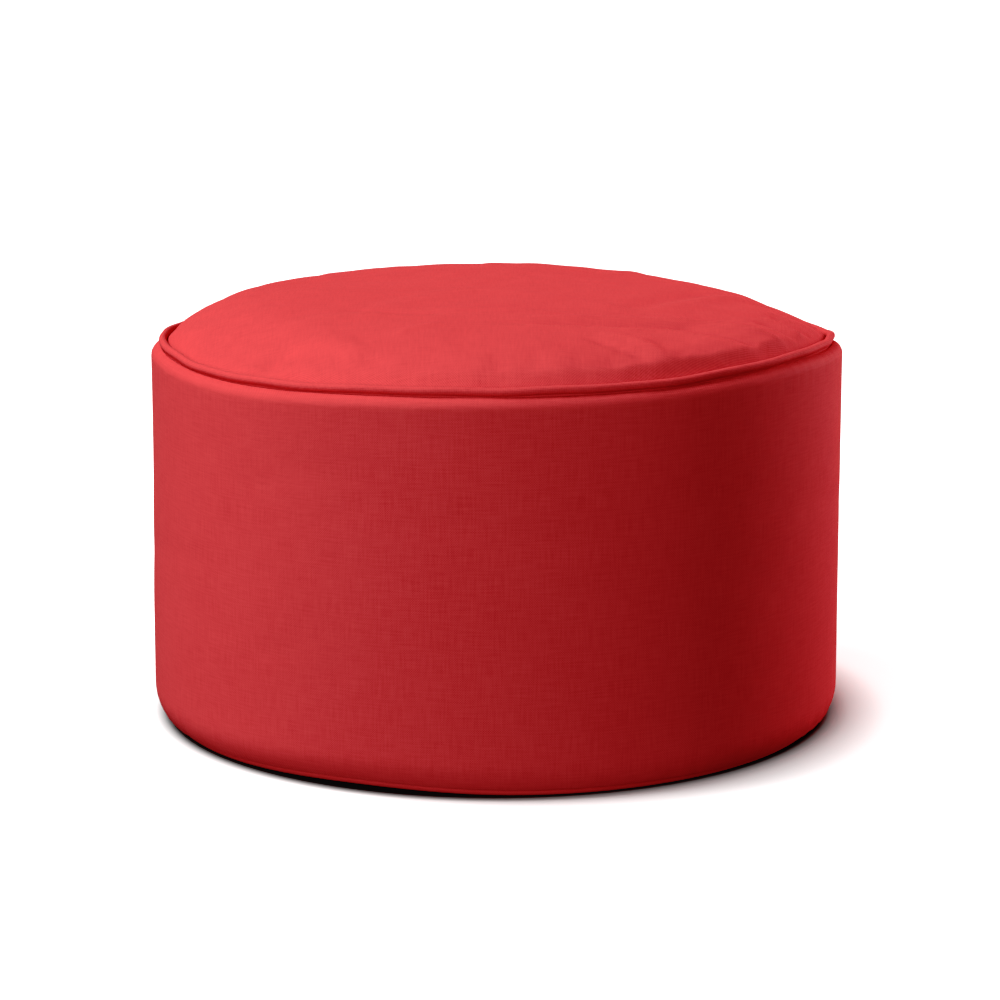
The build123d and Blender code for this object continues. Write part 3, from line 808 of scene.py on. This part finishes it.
def ring_corners(rows, columns):
    """Corner indices of a grid that is closed both ways: for its vertices, and for its cloth coordinates."""
    row, column = np.meshgrid(np.arange(rows), np.arange(columns), indexing="ij")
    row, column = row.ravel(), column.ravel()
    steps = [(row, column), (row, column + 1), (row + 1, column + 1), (row + 1, column)]
    faces = np.stack([line % rows * columns + spot % columns for line, spot in steps], 1)
    cloth = np.stack([line * (columns + 1) + spot for line, spot in steps], 1)
    return faces, cloth


def swept(section, angle):
    """Points of a closed section carried round the piping's line."""
    radius, height = piping_centre(angle)
    return np.stack([
        (radius[:, None] + section[None, :, 0]) * np.cos(angle)[:, None],
        (radius[:, None] + section[None, :, 0]) * np.sin(angle)[:, None],
        height[:, None] + section[None, :, 1],
    ], axis=-1)


def make_piping_cover():
    """The bias strip: an outer bulb, the flange below it, and the inner face that lies on the cord."""
    gap = 0.00004
    half = FLANGE / 2
    outer_cut = math.asin(half / BULB_R)
    inner_r = CORD_R + 0.00002
    inner_cut = math.asin(gap / inner_r)
    outer = np.linspace(-math.pi / 2 - outer_cut, -5 * math.pi / 2 + outer_cut, 19)
    inner = np.linspace(-5 * math.pi / 2 + inner_cut, -math.pi / 2 - inner_cut, 15)
    bottom = SEAM_Z - ALLOWANCE - RING_Z
    left = [(-half, level) for level in np.linspace(bottom, -BULB_R - 0.0006, 4)]
    right = [(half, level) for level in np.linspace(-BULB_R - 0.0006, bottom, 4)]
    right_in = [(gap, level) for level in np.linspace(bottom, -CORD_R - 0.0004, 3)]
    left_in = [(-gap, level) for level in np.linspace(-CORD_R - 0.0004, bottom, 3)]
    bulb = [(BULB_R * math.cos(turn), BULB_R * math.sin(turn)) for turn in outer]
    lining = [(inner_r * math.cos(turn), inner_r * math.sin(turn)) for turn in inner]
    section = np.array(left + bulb + right + right_in + lining + left_in)
    angle = np.arange(PIPING_AROUND) / PIPING_AROUND * 2 * math.pi + math.pi / 2
    points = swept(section, angle)
    step = reached(np.vstack([section, section[:1]]))
    rows, columns = points.shape[:2]
    creases = 0.00010 * np.sin(angle * 410 + 3 * np.sin(angle * 31)) * (0.5 + 0.5 * np.sin(angle * 11 + 1))
    out = section / np.maximum(np.linalg.norm(section, axis=1, keepdims=True), 1e-9)
    on_bulb = (np.abs(np.linalg.norm(section, axis=1) - BULB_R) < 1e-6).astype(float)
    push = creases[:, None] * on_bulb[None]
    points[..., 0] += push * out[None, :, 0] * np.cos(angle)[:, None]
    points[..., 1] += push * out[None, :, 0] * np.sin(angle)[:, None]
    points[..., 2] += push * out[None, :, 1]
    faces, cloth = ring_corners(rows, columns)
    turns = np.concatenate([angle, [angle[0] + 2 * math.pi]])
    flat = np.stack(np.broadcast_arrays((turns * RING_R)[:, None], step[None]), axis=-1)
    points, flat = settle(points.reshape(-1, 3)), flat.reshape(-1, 2)
    cover = mesh_from("top_piping_bias_strip", points, faces, cloth, flat)
    dress(cover, canvas_material("red_canvas_bias", CANVAS_RED_PALE, CANVAS_RED, CANVAS_RED_DEEP, turn=45.0))
    return cover


def outward(piece):
    """Turn every face of a closed piece outwards."""
    shape = bmesh.new()
    shape.from_mesh(piece.data)
    bmesh.ops.recalc_face_normals(shape, faces=shape.faces)
    shape.to_mesh(piece.data)
    shape.free()
    return piece


piping_cover = outward(make_piping_cover())
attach(piping_cover, "cover")
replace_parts(piping_cover, "top_piping_cover")


def cord_material():
    """Unbleached cotton, from the strand's own cloth coordinates."""
    material, tree, shader, add = new_material("white_cord")
    fibre = add("ShaderNodeTexNoise", Vector=cloth_coordinates(add), Scale=2600.0, Detail=4.0).outputs["Fac"]
    paint(tree, shader, add, fibre, [(0.60, 0.56, 0.47), (0.86, 0.83, 0.75)], fibre, (0.4, 0.0001), 0.9)
    return material


def make_piping_cord():
    """The cord, laid up from three strands, as one lobed and twisted round."""
    around_count, across = 720, 18
    lobes, lay = 3, 150
    angle = np.arange(around_count) / around_count * 2 * math.pi
    turn = np.arange(across) / across * 2 * math.pi
    twist = turn[None] + lay * angle[:, None] / lobes
    size = (CORD_R - 0.00005) * (0.90 + 0.10 * np.abs(np.cos(lobes * twist / 2)))
    radius, height = piping_centre(angle)
    reach = radius[:, None] + size * np.cos(turn)[None]
    points = np.stack([
        reach * np.cos(angle)[:, None], reach * np.sin(angle)[:, None],
        height[:, None] + size * np.sin(turn)[None],
    ], axis=-1)
    faces, cloth = ring_corners(around_count, across)
    turns = np.arange(around_count + 1) / around_count * 2 * math.pi * RING_R
    girth = np.arange(across + 1) / across * 2 * math.pi * CORD_R
    flat = np.stack(np.broadcast_arrays(turns[:, None], girth[None]), axis=-1)
    cord = mesh_from("top_piping_welt_cord", settle(points.reshape(-1, 3)), faces, cloth, flat.reshape(-1, 2))
    dress(cord, cord_material())
    return cord


piping_cord = outward(make_piping_cord())
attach(piping_cord, "cover")
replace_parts(piping_cord, "top_piping_cord")

# ---------------------------------------------------------------- base
# Two half rounds of the same canvas, meeting along the zip. Their straight edges are folded back beside it,
# and the cloth is lifted over a shallow recess, so that the zip never touches the floor.

RECESS_Z = 0.004
RECESS_HALF = 0.145
RECESS_EDGES = (0.020, 0.034)
SLOT_HALF = (0.150, 0.0056)
HALF_GAP = 0.0003
HEM = 0.0084
BASE_START = (0.2025, CREASE_Z - CLEAR)
ROLL = 0.0016
ROLL_COSINE = math.cos(math.radians(70))
LOWER_ROLL = (BASE_START[1] - ROLL * (1 - ROLL_COSINE)) / (1 + ROLL_COSINE)
BASE_ROLL = follow(BASE_START, 0, [(0.0115, 0, 3), (ROLL, -70, 4), (LOWER_ROLL, -110, 7)])[::-1]


def over_zip(points, half_length, edges, height):
    """Height of a cloth lifted over the zip, from its distance to the zip's line."""
    beyond = np.maximum(np.abs(points[:, 0]) - half_length, 0)
    return height * (1 - smooth_step(np.hypot(beyond, points[:, 1]), *edges))


def evenly(first, last, pitch):
    """Points from first to just before last, about a pitch apart."""
    first, last = np.array(first), np.array(last)
    count = max(1, round(float(np.linalg.norm(last - first)) / pitch))
    return first + (last - first) * (np.arange(count) / count)[:, None]


def base_outline():
    """The rear half's outline: its round edge, then its straight edge with the slot for the zip."""
    rim = BASE_ROLL[0][0]
    fold = SLOT_HALF[1] + CANVAS
    turn = np.linspace(0, math.pi, 200)
    arc = np.stack([rim * np.cos(turn), rim * np.sin(turn)], 1)
    arc[[0, -1], 1] = HALF_GAP
    corners = [(-rim, HALF_GAP), (-SLOT_HALF[0], HALF_GAP), (-SLOT_HALF[0], fold), (SLOT_HALF[0], fold),
               (SLOT_HALF[0], HALF_GAP), (rim, HALF_GAP)]
    edges = [evenly(first, last, 0.0035) for first, last in zip(corners, corners[1:])]
    edges[0] = edges[0][1:]
    return arc, edges


def facing(piece, way):
    """Make a sheet's faces agree, with most of its area facing this way."""
    shape = bmesh.new()
    shape.from_mesh(piece.data)
    bmesh.ops.recalc_face_normals(shape, faces=shape.faces)
    if sum(face.normal.dot(way) * face.calc_area() for face in shape.faces) < 0:
        bmesh.ops.reverse_faces(shape, faces=shape.faces)
    shape.to_mesh(piece.data)
    shape.free()
    return piece


def make_base_panel(name, hand, material):
    """Half of the base: filled outline, rolled rim with its allowance, and the fold beside the zip."""
    arc, edges = base_outline()
    outline = np.concatenate([arc, *edges])
    x, y = np.meshgrid(np.arange(-0.2140, 0.2140, 0.0042), np.arange(0.0042, 0.2140, 0.0037), indexing="ij")
    x = x + np.where(np.arange(x.shape[1]) % 2, 0.0021, 0)[None]
    inner = np.stack([x.ravel(), y.ravel()], 1)
    off_slot = (inner[:, 1] > 0.009) | (np.abs(inner[:, 0]) > 0.154)
    inside = (np.hypot(*inner.T) < BASE_ROLL[0][0] - 0.002) & off_slot
    flat = np.concatenate([outline, inner[inside]])
    loop = list(range(len(outline)))
    spots, _, faces, _, _, _ = delaunay_2d_cdt([Vector(spot) for spot in flat], [], [loop], 1, 1e-7)
    spots, faces = np.array([spot[:] for spot in spots]), [list(face) for face in faces]
    low = np.column_stack([spots, np.zeros(len(spots))])
    low[:, 2] = over_zip(low, RECESS_HALF, RECESS_EDGES, RECESS_Z)
    points, cloth = [low], [spots]
    count = len(spots)

    def carry_on(row, places, sewn):
        """Add one more row of points beside the last one, and return it."""
        nonlocal count
        made = list(range(count, count + len(row)))
        faces.extend([a, b, c, d] for a, b, c, d in zip(row, row[1:], made[1:], made))
        points.append(places)
        cloth.append(sewn)
        count += len(row)
        return made

    row, reach = list(range(len(arc))), BASE_ROLL[0][0]
    turn = np.linspace(0, math.pi, len(arc))
    for (before, _), (r, z) in zip(BASE_ROLL, BASE_ROLL[1:]):
        reach += 0.0009
        across = np.maximum(r * np.sin(turn), HALF_GAP)
        around_rim = np.stack([r * np.cos(turn), across, np.full_like(turn, z)], 1)
        row = carry_on(row, around_rim, np.stack([reach * np.cos(turn), reach * np.sin(turn)], 1))
    first = len(arc) + len(edges[0]) + len(edges[1])
    row = list(range(first, first + len(edges[2]) + 1))
    along = spots[row, 0]
    fold = SLOT_HALF[1] + CANVAS
    turns = [(fold - CANVAS * math.sin(a), RECESS_Z + CANVAS * (1 - math.cos(a)))
             for a in np.linspace(0, math.pi, 7)[1:]]
    lying = [(fold + 0.003, turns[-1][1]), (fold + HEM, turns[-1][1])]
    for step, (across, level) in enumerate(turns + lying):
        hem = np.stack([along, np.full_like(along, across), np.full_like(along, level - 0.00003)], 1)
        row = carry_on(row, hem, np.stack([along, np.full_like(along, fold - 0.0004 * (step + 1))], 1))
    points = np.concatenate(points) * np.array([1, hand, 1])
    cloth = np.concatenate(cloth) * np.array([1, hand])
    corners = np.concatenate([np.array(face) for face in faces])
    panel = mesh_from(name, settle(points), faces, corners, cloth)
    facing(panel, Vector((0, 0, -1)))
    thicken(panel, CANVAS * 0.93)
    dress(panel, material)
    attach(panel, "cover")
    return panel


base_canvas = canvas_material("red_base_canvas", CANVAS_RED, CANVAS_RED, CANVAS_RED_DEEP)
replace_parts(make_base_panel("base_front_canvas", -1, base_canvas), "base_panel_front")
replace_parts(make_base_panel("base_rear_canvas", 1, base_canvas), "base_panel_rear")

# ---------------------------------------------------------------- zip
# A number five nylon coil zip. Each woven tape carries a coil of flattened nylon loops, and the two coils
# lock into each other. Canvas tabs close its ends; the stops and the enamelled slider are pressed metal.

CHAIN_END = float(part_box("zip_coil_rear")[0][0])
ROW_END = float(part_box("zip_coil_rear")[1][0])
CHAIN_Z = 0.0055
TAPE_LOW, TAPE_HIGH = (np.array(corner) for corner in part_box("zip_tape_rear"))
COIL_PITCH = 0.0014
COIL_WIRE = 0.00032


def tape_material():
    """Woven polyester tape: fine ribs along it and a faint herringbone."""
    material, tree, shader, add = new_material("zip_tape_weave")
    split = add("ShaderNodeSeparateXYZ", Vector=cloth_coordinates(add))
    ribs = math_node(add, "SINE", math_node(add, "MULTIPLY", split.outputs["Y"], 2 * math.pi / 0.0006))
    slant = math_node(add, "ADD", split.outputs["X"], math_node(add, "PINGPONG", split.outputs["Y"], 0.0014))
    twill = math_node(add, "SINE", math_node(add, "MULTIPLY", slant, 2 * math.pi / 0.0005))
    height = math_node(add, "ADD", ribs, math_node(add, "MULTIPLY", twill, 0.6))
    level = math_node(add, "MULTIPLY_ADD", height, 0.25)
    level.node.inputs[2].default_value = 0.5
    colours = [(0.30, 0.012, 0.016), (0.52, 0.026, 0.032)]
    paint(tree, shader, add, level, colours, height, (0.5, 0.0001), 0.7)
    return material


def plain_material(name, colour, rough, metal=0.0, scatter=0.05, grain=800.0, weight=0.15):
    """A smooth solid with a faint unevenness in its own coordinates."""
    material, tree, shader, add = new_material(name)
    place = add("ShaderNodeTexCoord").outputs["Object"]
    noise = add("ShaderNodeTexNoise", Vector=place, Scale=grain, Detail=3.0).outputs["Fac"]
    dark = [part * (1 - scatter * 3) for part in colour]
    light = [min(1, part * (1 + scatter)) for part in colour]
    paint(tree, shader, add, noise, [dark, light], noise, (weight, 0.00005), rough)
    shader.inputs["Metallic"].default_value = metal
    return material


def make_tape(name, hand, material):
    """One tape, its visible face downwards."""
    stations = np.linspace(TAPE_LOW[0], TAPE_HIGH[0], 109), np.linspace(TAPE_LOW[1], TAPE_HIGH[1], 7)
    x, y = np.meshgrid(*stations, indexing="ij")
    points = np.stack([x, hand * y, np.full_like(x, TAPE_LOW[2])], axis=-1)
    faces, _ = grid_corners(*x.shape, False)
    tape = mesh_from(name, points.reshape(-1, 3), faces, faces, np.stack([x, y], axis=-1).reshape(-1, 2))
    facing(tape, Vector((0, 0, -1)))
    thicken(tape, float(TAPE_HIGH[2] - TAPE_LOW[2]))
    dress(tape, material)
    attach(tape, "cover")
    return tape


tape_weave = tape_material()
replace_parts(make_tape("zip_tape_front_woven", -1, tape_weave), "zip_tape_front")
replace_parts(make_tape("zip_tape_rear_woven", 1, tape_weave), "zip_tape_rear")


def node_group(name, numbers, solid):
    """A Geometry Nodes group with number inputs, the node maker and the finished geometry's way out."""
    group = bpy.data.node_groups.new(name, "GeometryNodeTree")
    face = group.interface
    face.new_socket("Run", in_out="INPUT", socket_type="NodeSocketGeometry")
    for label in numbers:
        face.new_socket(label, in_out="INPUT", socket_type="NodeSocketFloat")
    face.new_socket("Finish", in_out="INPUT", socket_type="NodeSocketMaterial")
    face.new_socket("Made", in_out="OUTPUT", socket_type="NodeSocketGeometry")
    given = group.nodes.new("NodeGroupInput")

    def add(kind, mode=None, **sockets):
        made = group.nodes.new(kind)
        if mode:
            made.mode = mode
        for key, value in sockets.items():
            socket = made.inputs[key.replace("_", " ")]
            if isinstance(value, bpy.types.NodeSocket):
                group.links.new(value, socket)
            else:
                socket.default_value = value
        return made

    shape = solid(add, given)
    realized = add("GeometryNodeRealizeInstances", Geometry=shape)
    finished = add("GeometryNodeSetMaterial", Geometry=realized.outputs[0], Material=given.outputs["Finish"])
    out = group.nodes.new("NodeGroupOutput")
    group.links.new(finished.outputs[0], out.inputs["Made"])
    return group


def grown(name, run, group, material, **numbers):
    """Apply a group to a run of points, and return the finished plain object."""
    mesh = bpy.data.meshes.new(name)
    points, edges = run
    mesh.from_pydata(np.asarray(points).tolist(), [tuple(map(int, pair)) for pair in edges], [])
    piece = bpy.data.objects.new(name, mesh)
    bpy.context.collection.objects.link(piece)
    growth = piece.modifiers.new("grown", "NODES")
    growth.node_group = group
    for item in group.interface.items_tree:
        if item.in_out == "INPUT" and item.name.replace(" ", "_") in numbers:
            growth[item.identifier] = float(numbers[item.name.replace(" ", "_")])
        if item.in_out == "INPUT" and item.name == "Finish":
            growth[item.identifier] = material
    made_plain(piece)
    piece.data.shade_smooth()
    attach(piece, "cover")
    return piece


def coil_solid(add, given):
    """A flattened helix of nylon wire, carried along the zip."""
    spiral = add("GeometryNodeCurveSpiral", Resolution=14, Rotations=given.outputs["Turns"], Start_Radius=1.0,
                 End_Radius=1.0, Height=given.outputs["Reach"])
    size = add("ShaderNodeCombineXYZ", X=given.outputs["Half Height"], Y=given.outputs["Half Width"], Z=1.0)
    flat = add("GeometryNodeTransform", Geometry=spiral.outputs[0], Scale=size.outputs[0])
    laid = add("GeometryNodeTransform", Geometry=flat.outputs[0], Rotation=(0, math.pi / 2, 0))
    spot = add("ShaderNodeCombineXYZ", X=given.outputs["Start"], Y=given.outputs["Beside"], Z=CHAIN_Z)
    placed = add("GeometryNodeTransform", Geometry=laid.outputs[0], Translation=spot.outputs[0])
    wire = add("GeometryNodeCurvePrimitiveCircle", Resolution=7, Radius=given.outputs["Wire"])
    tube = add("GeometryNodeCurveToMesh", Curve=placed.outputs[0], Profile_Curve=wire.outputs[0],
               Fill_Caps=True)
    return tube.outputs[0]


COIL_NUMBERS = ["Turns", "Reach", "Half Height", "Half Width", "Start", "Beside", "Wire"]
COIL_ROWS = [("zip_coil_front_row", "zip_coil_front", -1), ("zip_coil_rear_row", "zip_coil_rear", 1)]
coil_group = node_group("zip_coil", COIL_NUMBERS, coil_solid)
nylon = plain_material("zip_nylon", (0.50, 0.030, 0.036), 0.32)
for row_name, row_node, row_hand in COIL_ROWS:
    row_start = CHAIN_END + COIL_WIRE + (COIL_PITCH / 2 if row_hand < 0 else 0)
    row_reach = ROW_END - COIL_WIRE - row_start
    coil_row = grown(row_name, ([(0, 0, 0), (0.001, 0, 0)], [(0, 1)]), coil_group, nylon,
                     Turns=row_reach / COIL_PITCH, Reach=row_reach, Half_Height=0.00082, Half_Width=0.00135,
                     Start=row_start, Beside=row_hand * 0.00132, Wire=COIL_WIRE)
    outward(coil_row)
    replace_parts(coil_row, row_node)

enamel = plain_material("zip_enamel", (0.46, 0.020, 0.026), 0.28, scatter=0.02)
pressed_metal = plain_material("zip_pressed_metal", (0.62, 0.60, 0.57), 0.34, metal=1.0, scatter=0.02)
for node_name, finish in (("zip_slider", enamel), ("zip_pull", enamel),
                          ("zip_top_stops", pressed_metal), ("zip_bottom_stop", pressed_metal)):
    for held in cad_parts[node_name].material_slots:
        held.material = finish


def make_end_tabs():
    """Two tabs of canvas, each folded double over the zip's end with its fold outwards."""
    low, high = (np.array(corner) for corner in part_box("zip_end_tabs"))
    inner, outer = high[0] - 0.011, high[0]
    bottom, top = low[2], high[2]
    half = (top - bottom) / 2
    turn = np.linspace(math.pi / 2, -math.pi / 2, 7)
    upper = [(x, top) for x in np.linspace(inner, outer - half, 6)[:-1]]
    bend = [(outer - half + half * math.cos(a), bottom + half + half * math.sin(a)) for a in turn]
    lower = [(x, bottom) for x in np.linspace(outer - half, inner, 6)[1:]]
    path = np.array(upper + bend + lower)
    reach = reached(path)
    across = np.linspace(low[1], high[1], 13)
    points, flat, faces, start = [], [], [], 0
    for hand in (-1, 1):
        grid = np.stack([
            np.repeat((hand * path[:, 0])[:, None], len(across), 1),
            np.repeat(across[None], len(path), 0),
            np.repeat(path[:, 1][:, None], len(across), 1),
        ], axis=-1)
        points.append(grid.reshape(-1, 3))
        flat.append(np.stack(np.meshgrid(reach, across, indexing="ij"), axis=-1).reshape(-1, 2))
        faces.append(grid_corners(len(path), len(across), False, flip=hand < 0)[0] + start)
        start += len(points[-1])
    faces = np.concatenate(faces)
    tabs = mesh_from("zip_end_tabs_canvas", np.concatenate(points), faces, faces, np.concatenate(flat))
    thicken(tabs, half * 0.93)
    dress(tabs, canvas)
    return tabs


end_tabs = make_end_tabs()
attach(end_tabs, "cover")
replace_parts(end_tabs, "zip_end_tabs")

# ---------------------------------------------------------------- seams
# Bonded polyester thread in the canvas's red, sewn as a lockstitch at about three millimetres a stitch, and
# a white thread in the inner bag. Each stitch is a short soft-ended length lying on the cloth.

THREAD_R = 0.0002


def stitch_solid(add, given):
    """Stitches laid end to end along each run."""
    run = add("GeometryNodeMeshToCurve", Mesh=given.outputs["Run"])
    places = add("GeometryNodeCurveToPoints", "LENGTH", Curve=run.outputs[0], Length=given.outputs["Pitch"])
    bead = add("GeometryNodeMeshUVSphere", Segments=8, Rings=7, Radius=1.0)
    size = add("ShaderNodeCombineXYZ", X=given.outputs["Thickness"], Y=given.outputs["Thickness"],
               Z=given.outputs["Half Length"])
    laid = add("GeometryNodeInstanceOnPoints", Points=places.outputs["Points"], Instance=bead.outputs["Mesh"],
               Rotation=places.outputs["Rotation"], Scale=size.outputs[0])
    return laid.outputs[0]


stitch_group = node_group("lockstitch", ["Pitch", "Half Length", "Thickness"], stitch_solid)
red_thread = plain_material("red_thread", (0.46, 0.016, 0.022), 0.6, grain=3000.0, weight=0.4)
white_thread = plain_material("white_thread", (0.80, 0.79, 0.76), 0.7, grain=3000.0, weight=0.4)


def rings(places):
    """Closed runs at these radii and heights, and their edges."""
    count = 720
    turn = np.arange(count) / count * 2 * math.pi
    points = [np.stack([r * np.cos(turn), r * np.sin(turn), np.full(count, z)], 1) for r, z in places]
    edges = [(start * count + step, start * count + (step + 1) % count)
             for start in range(len(places)) for step in range(count)]
    return settle(np.concatenate(points)), edges


def rods(ends):
    """Straight runs between pairs of points, and their edges."""
    count = 60
    points = [np.linspace(first, last, count) for first, last in ends]
    edges = [(start * count + step, start * count + step + 1)
             for start in range(len(ends)) for step in range(count - 1)]
    return settle(np.concatenate(points)), edges


def sew(node, run, material, pitch=0.0030):
    """Sew one CAD thread's runs as stitches."""
    seam = grown(node + "_stitches", run, stitch_group, material, Pitch=pitch, Half_Length=pitch * 0.47,
                 Thickness=THREAD_R)
    outward(seam)
    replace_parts(seam, node)


TOP_REACH = FLANGE / 2 + CLEAR + CANVAS + THREAD_R
TOP_STITCH_Z = SEAM_Z - 0.0035
BASE_REACH = CLEAR + CANVAS + THREAD_R
BASE_STITCH_R = 0.2125
BACK = float(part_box("side_seam_thread")[1][1]) - THREAD_R
BACK_X, BACK_LOW, BACK_HIGH = 0.002, 0.025, 0.215
HEM_X, HEM_Y, HEM_Z = 0.148, 0.008, RECESS_Z - THREAD_R / 2
top_rings = rings([(RING_R + hand * TOP_REACH, TOP_STITCH_Z) for hand in (-1, 1)])
base_rings = rings([(BASE_STITCH_R, CREASE_Z + hand * BASE_REACH) for hand in (-1, 1)])
back_rods = rods([((hand * BACK_X, BACK, BACK_LOW), (hand * BACK_X, BACK, BACK_HIGH)) for hand in (-1, 1)])
hem_rods = rods([((-HEM_X, hand * HEM_Y, HEM_Z), (HEM_X, hand * HEM_Y, HEM_Z)) for hand in (-1, 1)])
sew("top_seam_thread", top_rings, red_thread)
sew("base_seam_thread", base_rings, red_thread)
sew("side_seam_thread", back_rods, red_thread)
sew("zip_topstitching", hem_rods, red_thread)

# ---------------------------------------------------------------- inner bag
# A white spun-bonded bag, two rounds and a wall, sewn from its inside. It holds the beads, stays inside
# when the cover is washed, and takes the same folds as the cover that lies on it.

LINER = 0.0003
LINER_BASE_START = (0.0, 0.00085)
LINER_BASE = [(0.190, 0, 30), (0.014, 38, 4), (0.014, -38, 4), (0.006, 0, 2)]
LINER_BASE_PATH = follow(LINER_BASE_START, 0, LINER_BASE)
LINER_R = 0.2226
LINER_CORNER = LINER_R - LINER_BASE_PATH[-1][0]
LINER_RISE = RING_Z - 0.0376 - LINER_BASE_PATH[-1][1] - LINER_CORNER
LINER_WALL = [(LINER_CORNER, 90, 8), (LINER_RISE, 0, 40), (0.0348, 36, 8), (0.0100, -30, 4), (0.0080, 0, 3)]
LINER_WALL_PATH = follow(LINER_BASE_PATH[-1], 0, LINER_WALL)
LINER_DOME = [(0.009, 60, 8), (0.235, 20, 30)]
LINER_TOP_PATH = follow(LINER_WALL_PATH[-1], 96, to_middle(LINER_WALL_PATH[-1], 96, LINER_DOME, 180))
LINER_HOLLOW = (0.150, (0.018, 0.046), 0.0084)


def nonwoven_material():
    """White spun-bonded polypropylene with its grid of pressed dots."""
    material, tree, shader, add = new_material("liner_nonwoven")
    place = cloth_coordinates(add)
    dots = add("ShaderNodeTexVoronoi", Vector=place, Scale=700.0, Randomness=0.0)
    fibres = add("ShaderNodeTexNoise", Vector=place, Scale=500.0, Detail=5.0)
    height = math_node(add, "ADD", dots.outputs["Distance"], fibres.outputs["Fac"])
    paint(tree, shader, add, height, [(0.74, 0.74, 0.73), (0.86, 0.86, 0.85)], height, (0.4, 0.0001), 0.85)
    return material


nonwoven = nonwoven_material()


def make_liner_top(cells):
    """The bag's top round, with the same relief as the cover's top."""
    points, flat, _ = round_points(LINER_TOP_PATH, cells)
    points = points + relief
    faces, _ = grid_corners(cells + 1, cells + 1, False)
    return mesh_from("liner_top_nonwoven", settle(points.reshape(-1, 3)), faces, faces, flat.reshape(-1, 2))


def make_liner_side():
    """The bag's wall, slightly creased."""
    turns = np.arange(289) / 288 * 2 * math.pi + math.pi / 2
    angle = turns[:-1]
    radius = np.repeat(LINER_WALL_PATH[:, 0][:, None], len(angle), 1)
    height = np.repeat(LINER_WALL_PATH[:, 1][:, None], len(angle), 1)
    wall = smooth_step(height, 0.03, 0.06) * (1 - smooth_step(height, 0.17, 0.20))
    radius -= 0.0004 * (1 + np.sin(37 * angle + 40 * height) * np.sin(90 * height + 3 * angle)) * wall
    points = np.stack([radius * np.cos(angle), radius * np.sin(angle), height], axis=-1)
    reach = reached(LINER_WALL_PATH)
    flat = np.stack(np.broadcast_arrays(turns[None] * LINER_R, reach[:, None]), axis=-1)
    faces, cloth = grid_corners(len(reach), len(angle), True)
    return mesh_from("liner_side_nonwoven", settle(points.reshape(-1, 3)), faces, cloth, flat.reshape(-1, 2))


def liner_floor(cells, lift):
    """The bag's base round on a square grid, lifted over the zip, with its rings and angles."""
    path = LINER_BASE_PATH[::-1] + np.array([0, lift])
    points, flat, place = round_points(path, cells)
    level = points.reshape(-1, 3)
    hollow_height = LINER_BASE_START[1] + lift + over_zip(level, *LINER_HOLLOW)
    level[:, 2] = np.maximum(level[:, 2], hollow_height)
    return points, flat, place


def make_liner_base(cells):
    """The bag's base round."""
    points, flat, _ = liner_floor(cells, 0.0)
    faces, _ = grid_corners(cells + 1, cells + 1, False, flip=True)
    return mesh_from("liner_base_nonwoven", settle(points.reshape(-1, 3)), faces, faces, flat.reshape(-1, 2))


LINER_PIECES = [
    (make_liner_top(TOP_GRID * 2), "liner_top", (0, 0, 1), (0.436, 0.436), math.pi * 0.218 ** 2),
    (make_liner_side(), "liner_side", None, (1.400, 0.245), None),
    (make_liner_base(100), "liner_base", (0, 0, -1), (0.428, 0.428), math.pi * 0.214 ** 2),
]
for liner_piece, liner_node, way, cut, cut_area in LINER_PIECES:
    if way:
        facing(liner_piece, Vector(way))
    thicken(liner_piece, LINER)
    dress(liner_piece, nonwoven)
    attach(liner_piece, "cover")
    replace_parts(liner_piece, liner_node)

LINER_SEAMS = [(LINER_BASE_PATH[-1][0], LINER_BASE_PATH[-1][1] - 0.00025),
               (LINER_WALL_PATH[-1][0] + 0.00025, LINER_WALL_PATH[-1][1])]
sew("liner_seam_thread", rings(LINER_SEAMS), white_thread, pitch=0.0035)

# ---------------------------------------------------------------- beads
# Expanded polystyrene beads of two to four millimetres fill the bag. They are shown as the one body that
# they press into, with the tops of the outer beads standing out of its surface.


def bead_material():
    """White beads, packed without order, with painted shade darkening the gaps between them."""
    material, tree, shader, add = new_material("white_beads")
    place = add("ShaderNodeTexCoord").outputs["Object"]
    cells = add("ShaderNodeTexVoronoi", Vector=place, Scale=300.0)
    dome = math_node(add, "SUBTRACT", 1.0, cells.outputs["Distance"])
    # Painted shade: grey in the gaps between beads, white on their tops; the same value also raises the tops
    # as bump.
    paint(tree, shader, add, dome, [(0.60, 0.60, 0.61), (0.92, 0.92, 0.92)], dome, (1.0, 0.0015), 0.6)
    return material


def make_beads(cells, clear):
    """The filling's closed surface, a little inside the bag."""
    floor_points, _, place = liner_floor(cells, clear + LINER)
    _, angle = square_to_round(cells)
    top, _, _ = round_points(LINER_TOP_PATH, cells)
    skip = TOP_GRID * 2 // cells
    top = top + relief[::skip, ::skip] - np.array([0, 0, clear + LINER])
    shrink = 1 - (clear + LINER) / 0.22
    rim, turn = round_rim(place, angle)
    points = [floor_points.reshape(-1, 3) * [shrink, shrink, 1]]
    count = len(points[0])
    rows = [rim]
    for r, z in LINER_WALL_PATH[2:-1:2]:
        level = np.full_like(turn, z)
        points.append(np.stack([shrink * r * np.cos(turn), shrink * r * np.sin(turn), level], 1))
        rows.append(np.arange(count, count + len(rim)))
        count += len(rim)
    points.append(top.reshape(-1, 3) * [shrink, shrink, 1])
    rows.append(rim + count)
    grid, _ = grid_corners(cells + 1, cells + 1, False)
    faces = [grid[:, ::-1], grid + count]
    for lower, upper in zip(rows, rows[1:]):
        faces.append(np.stack([lower, np.roll(lower, -1), np.roll(upper, -1), upper], 1))
    return mesh_from("bead_fill_beads", settle(np.concatenate(points)), np.concatenate(faces))


beads = outward(make_beads(80, 0.0008))
dress(beads, bead_material())
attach(beads, "cover")
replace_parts(beads, "bead_fill")
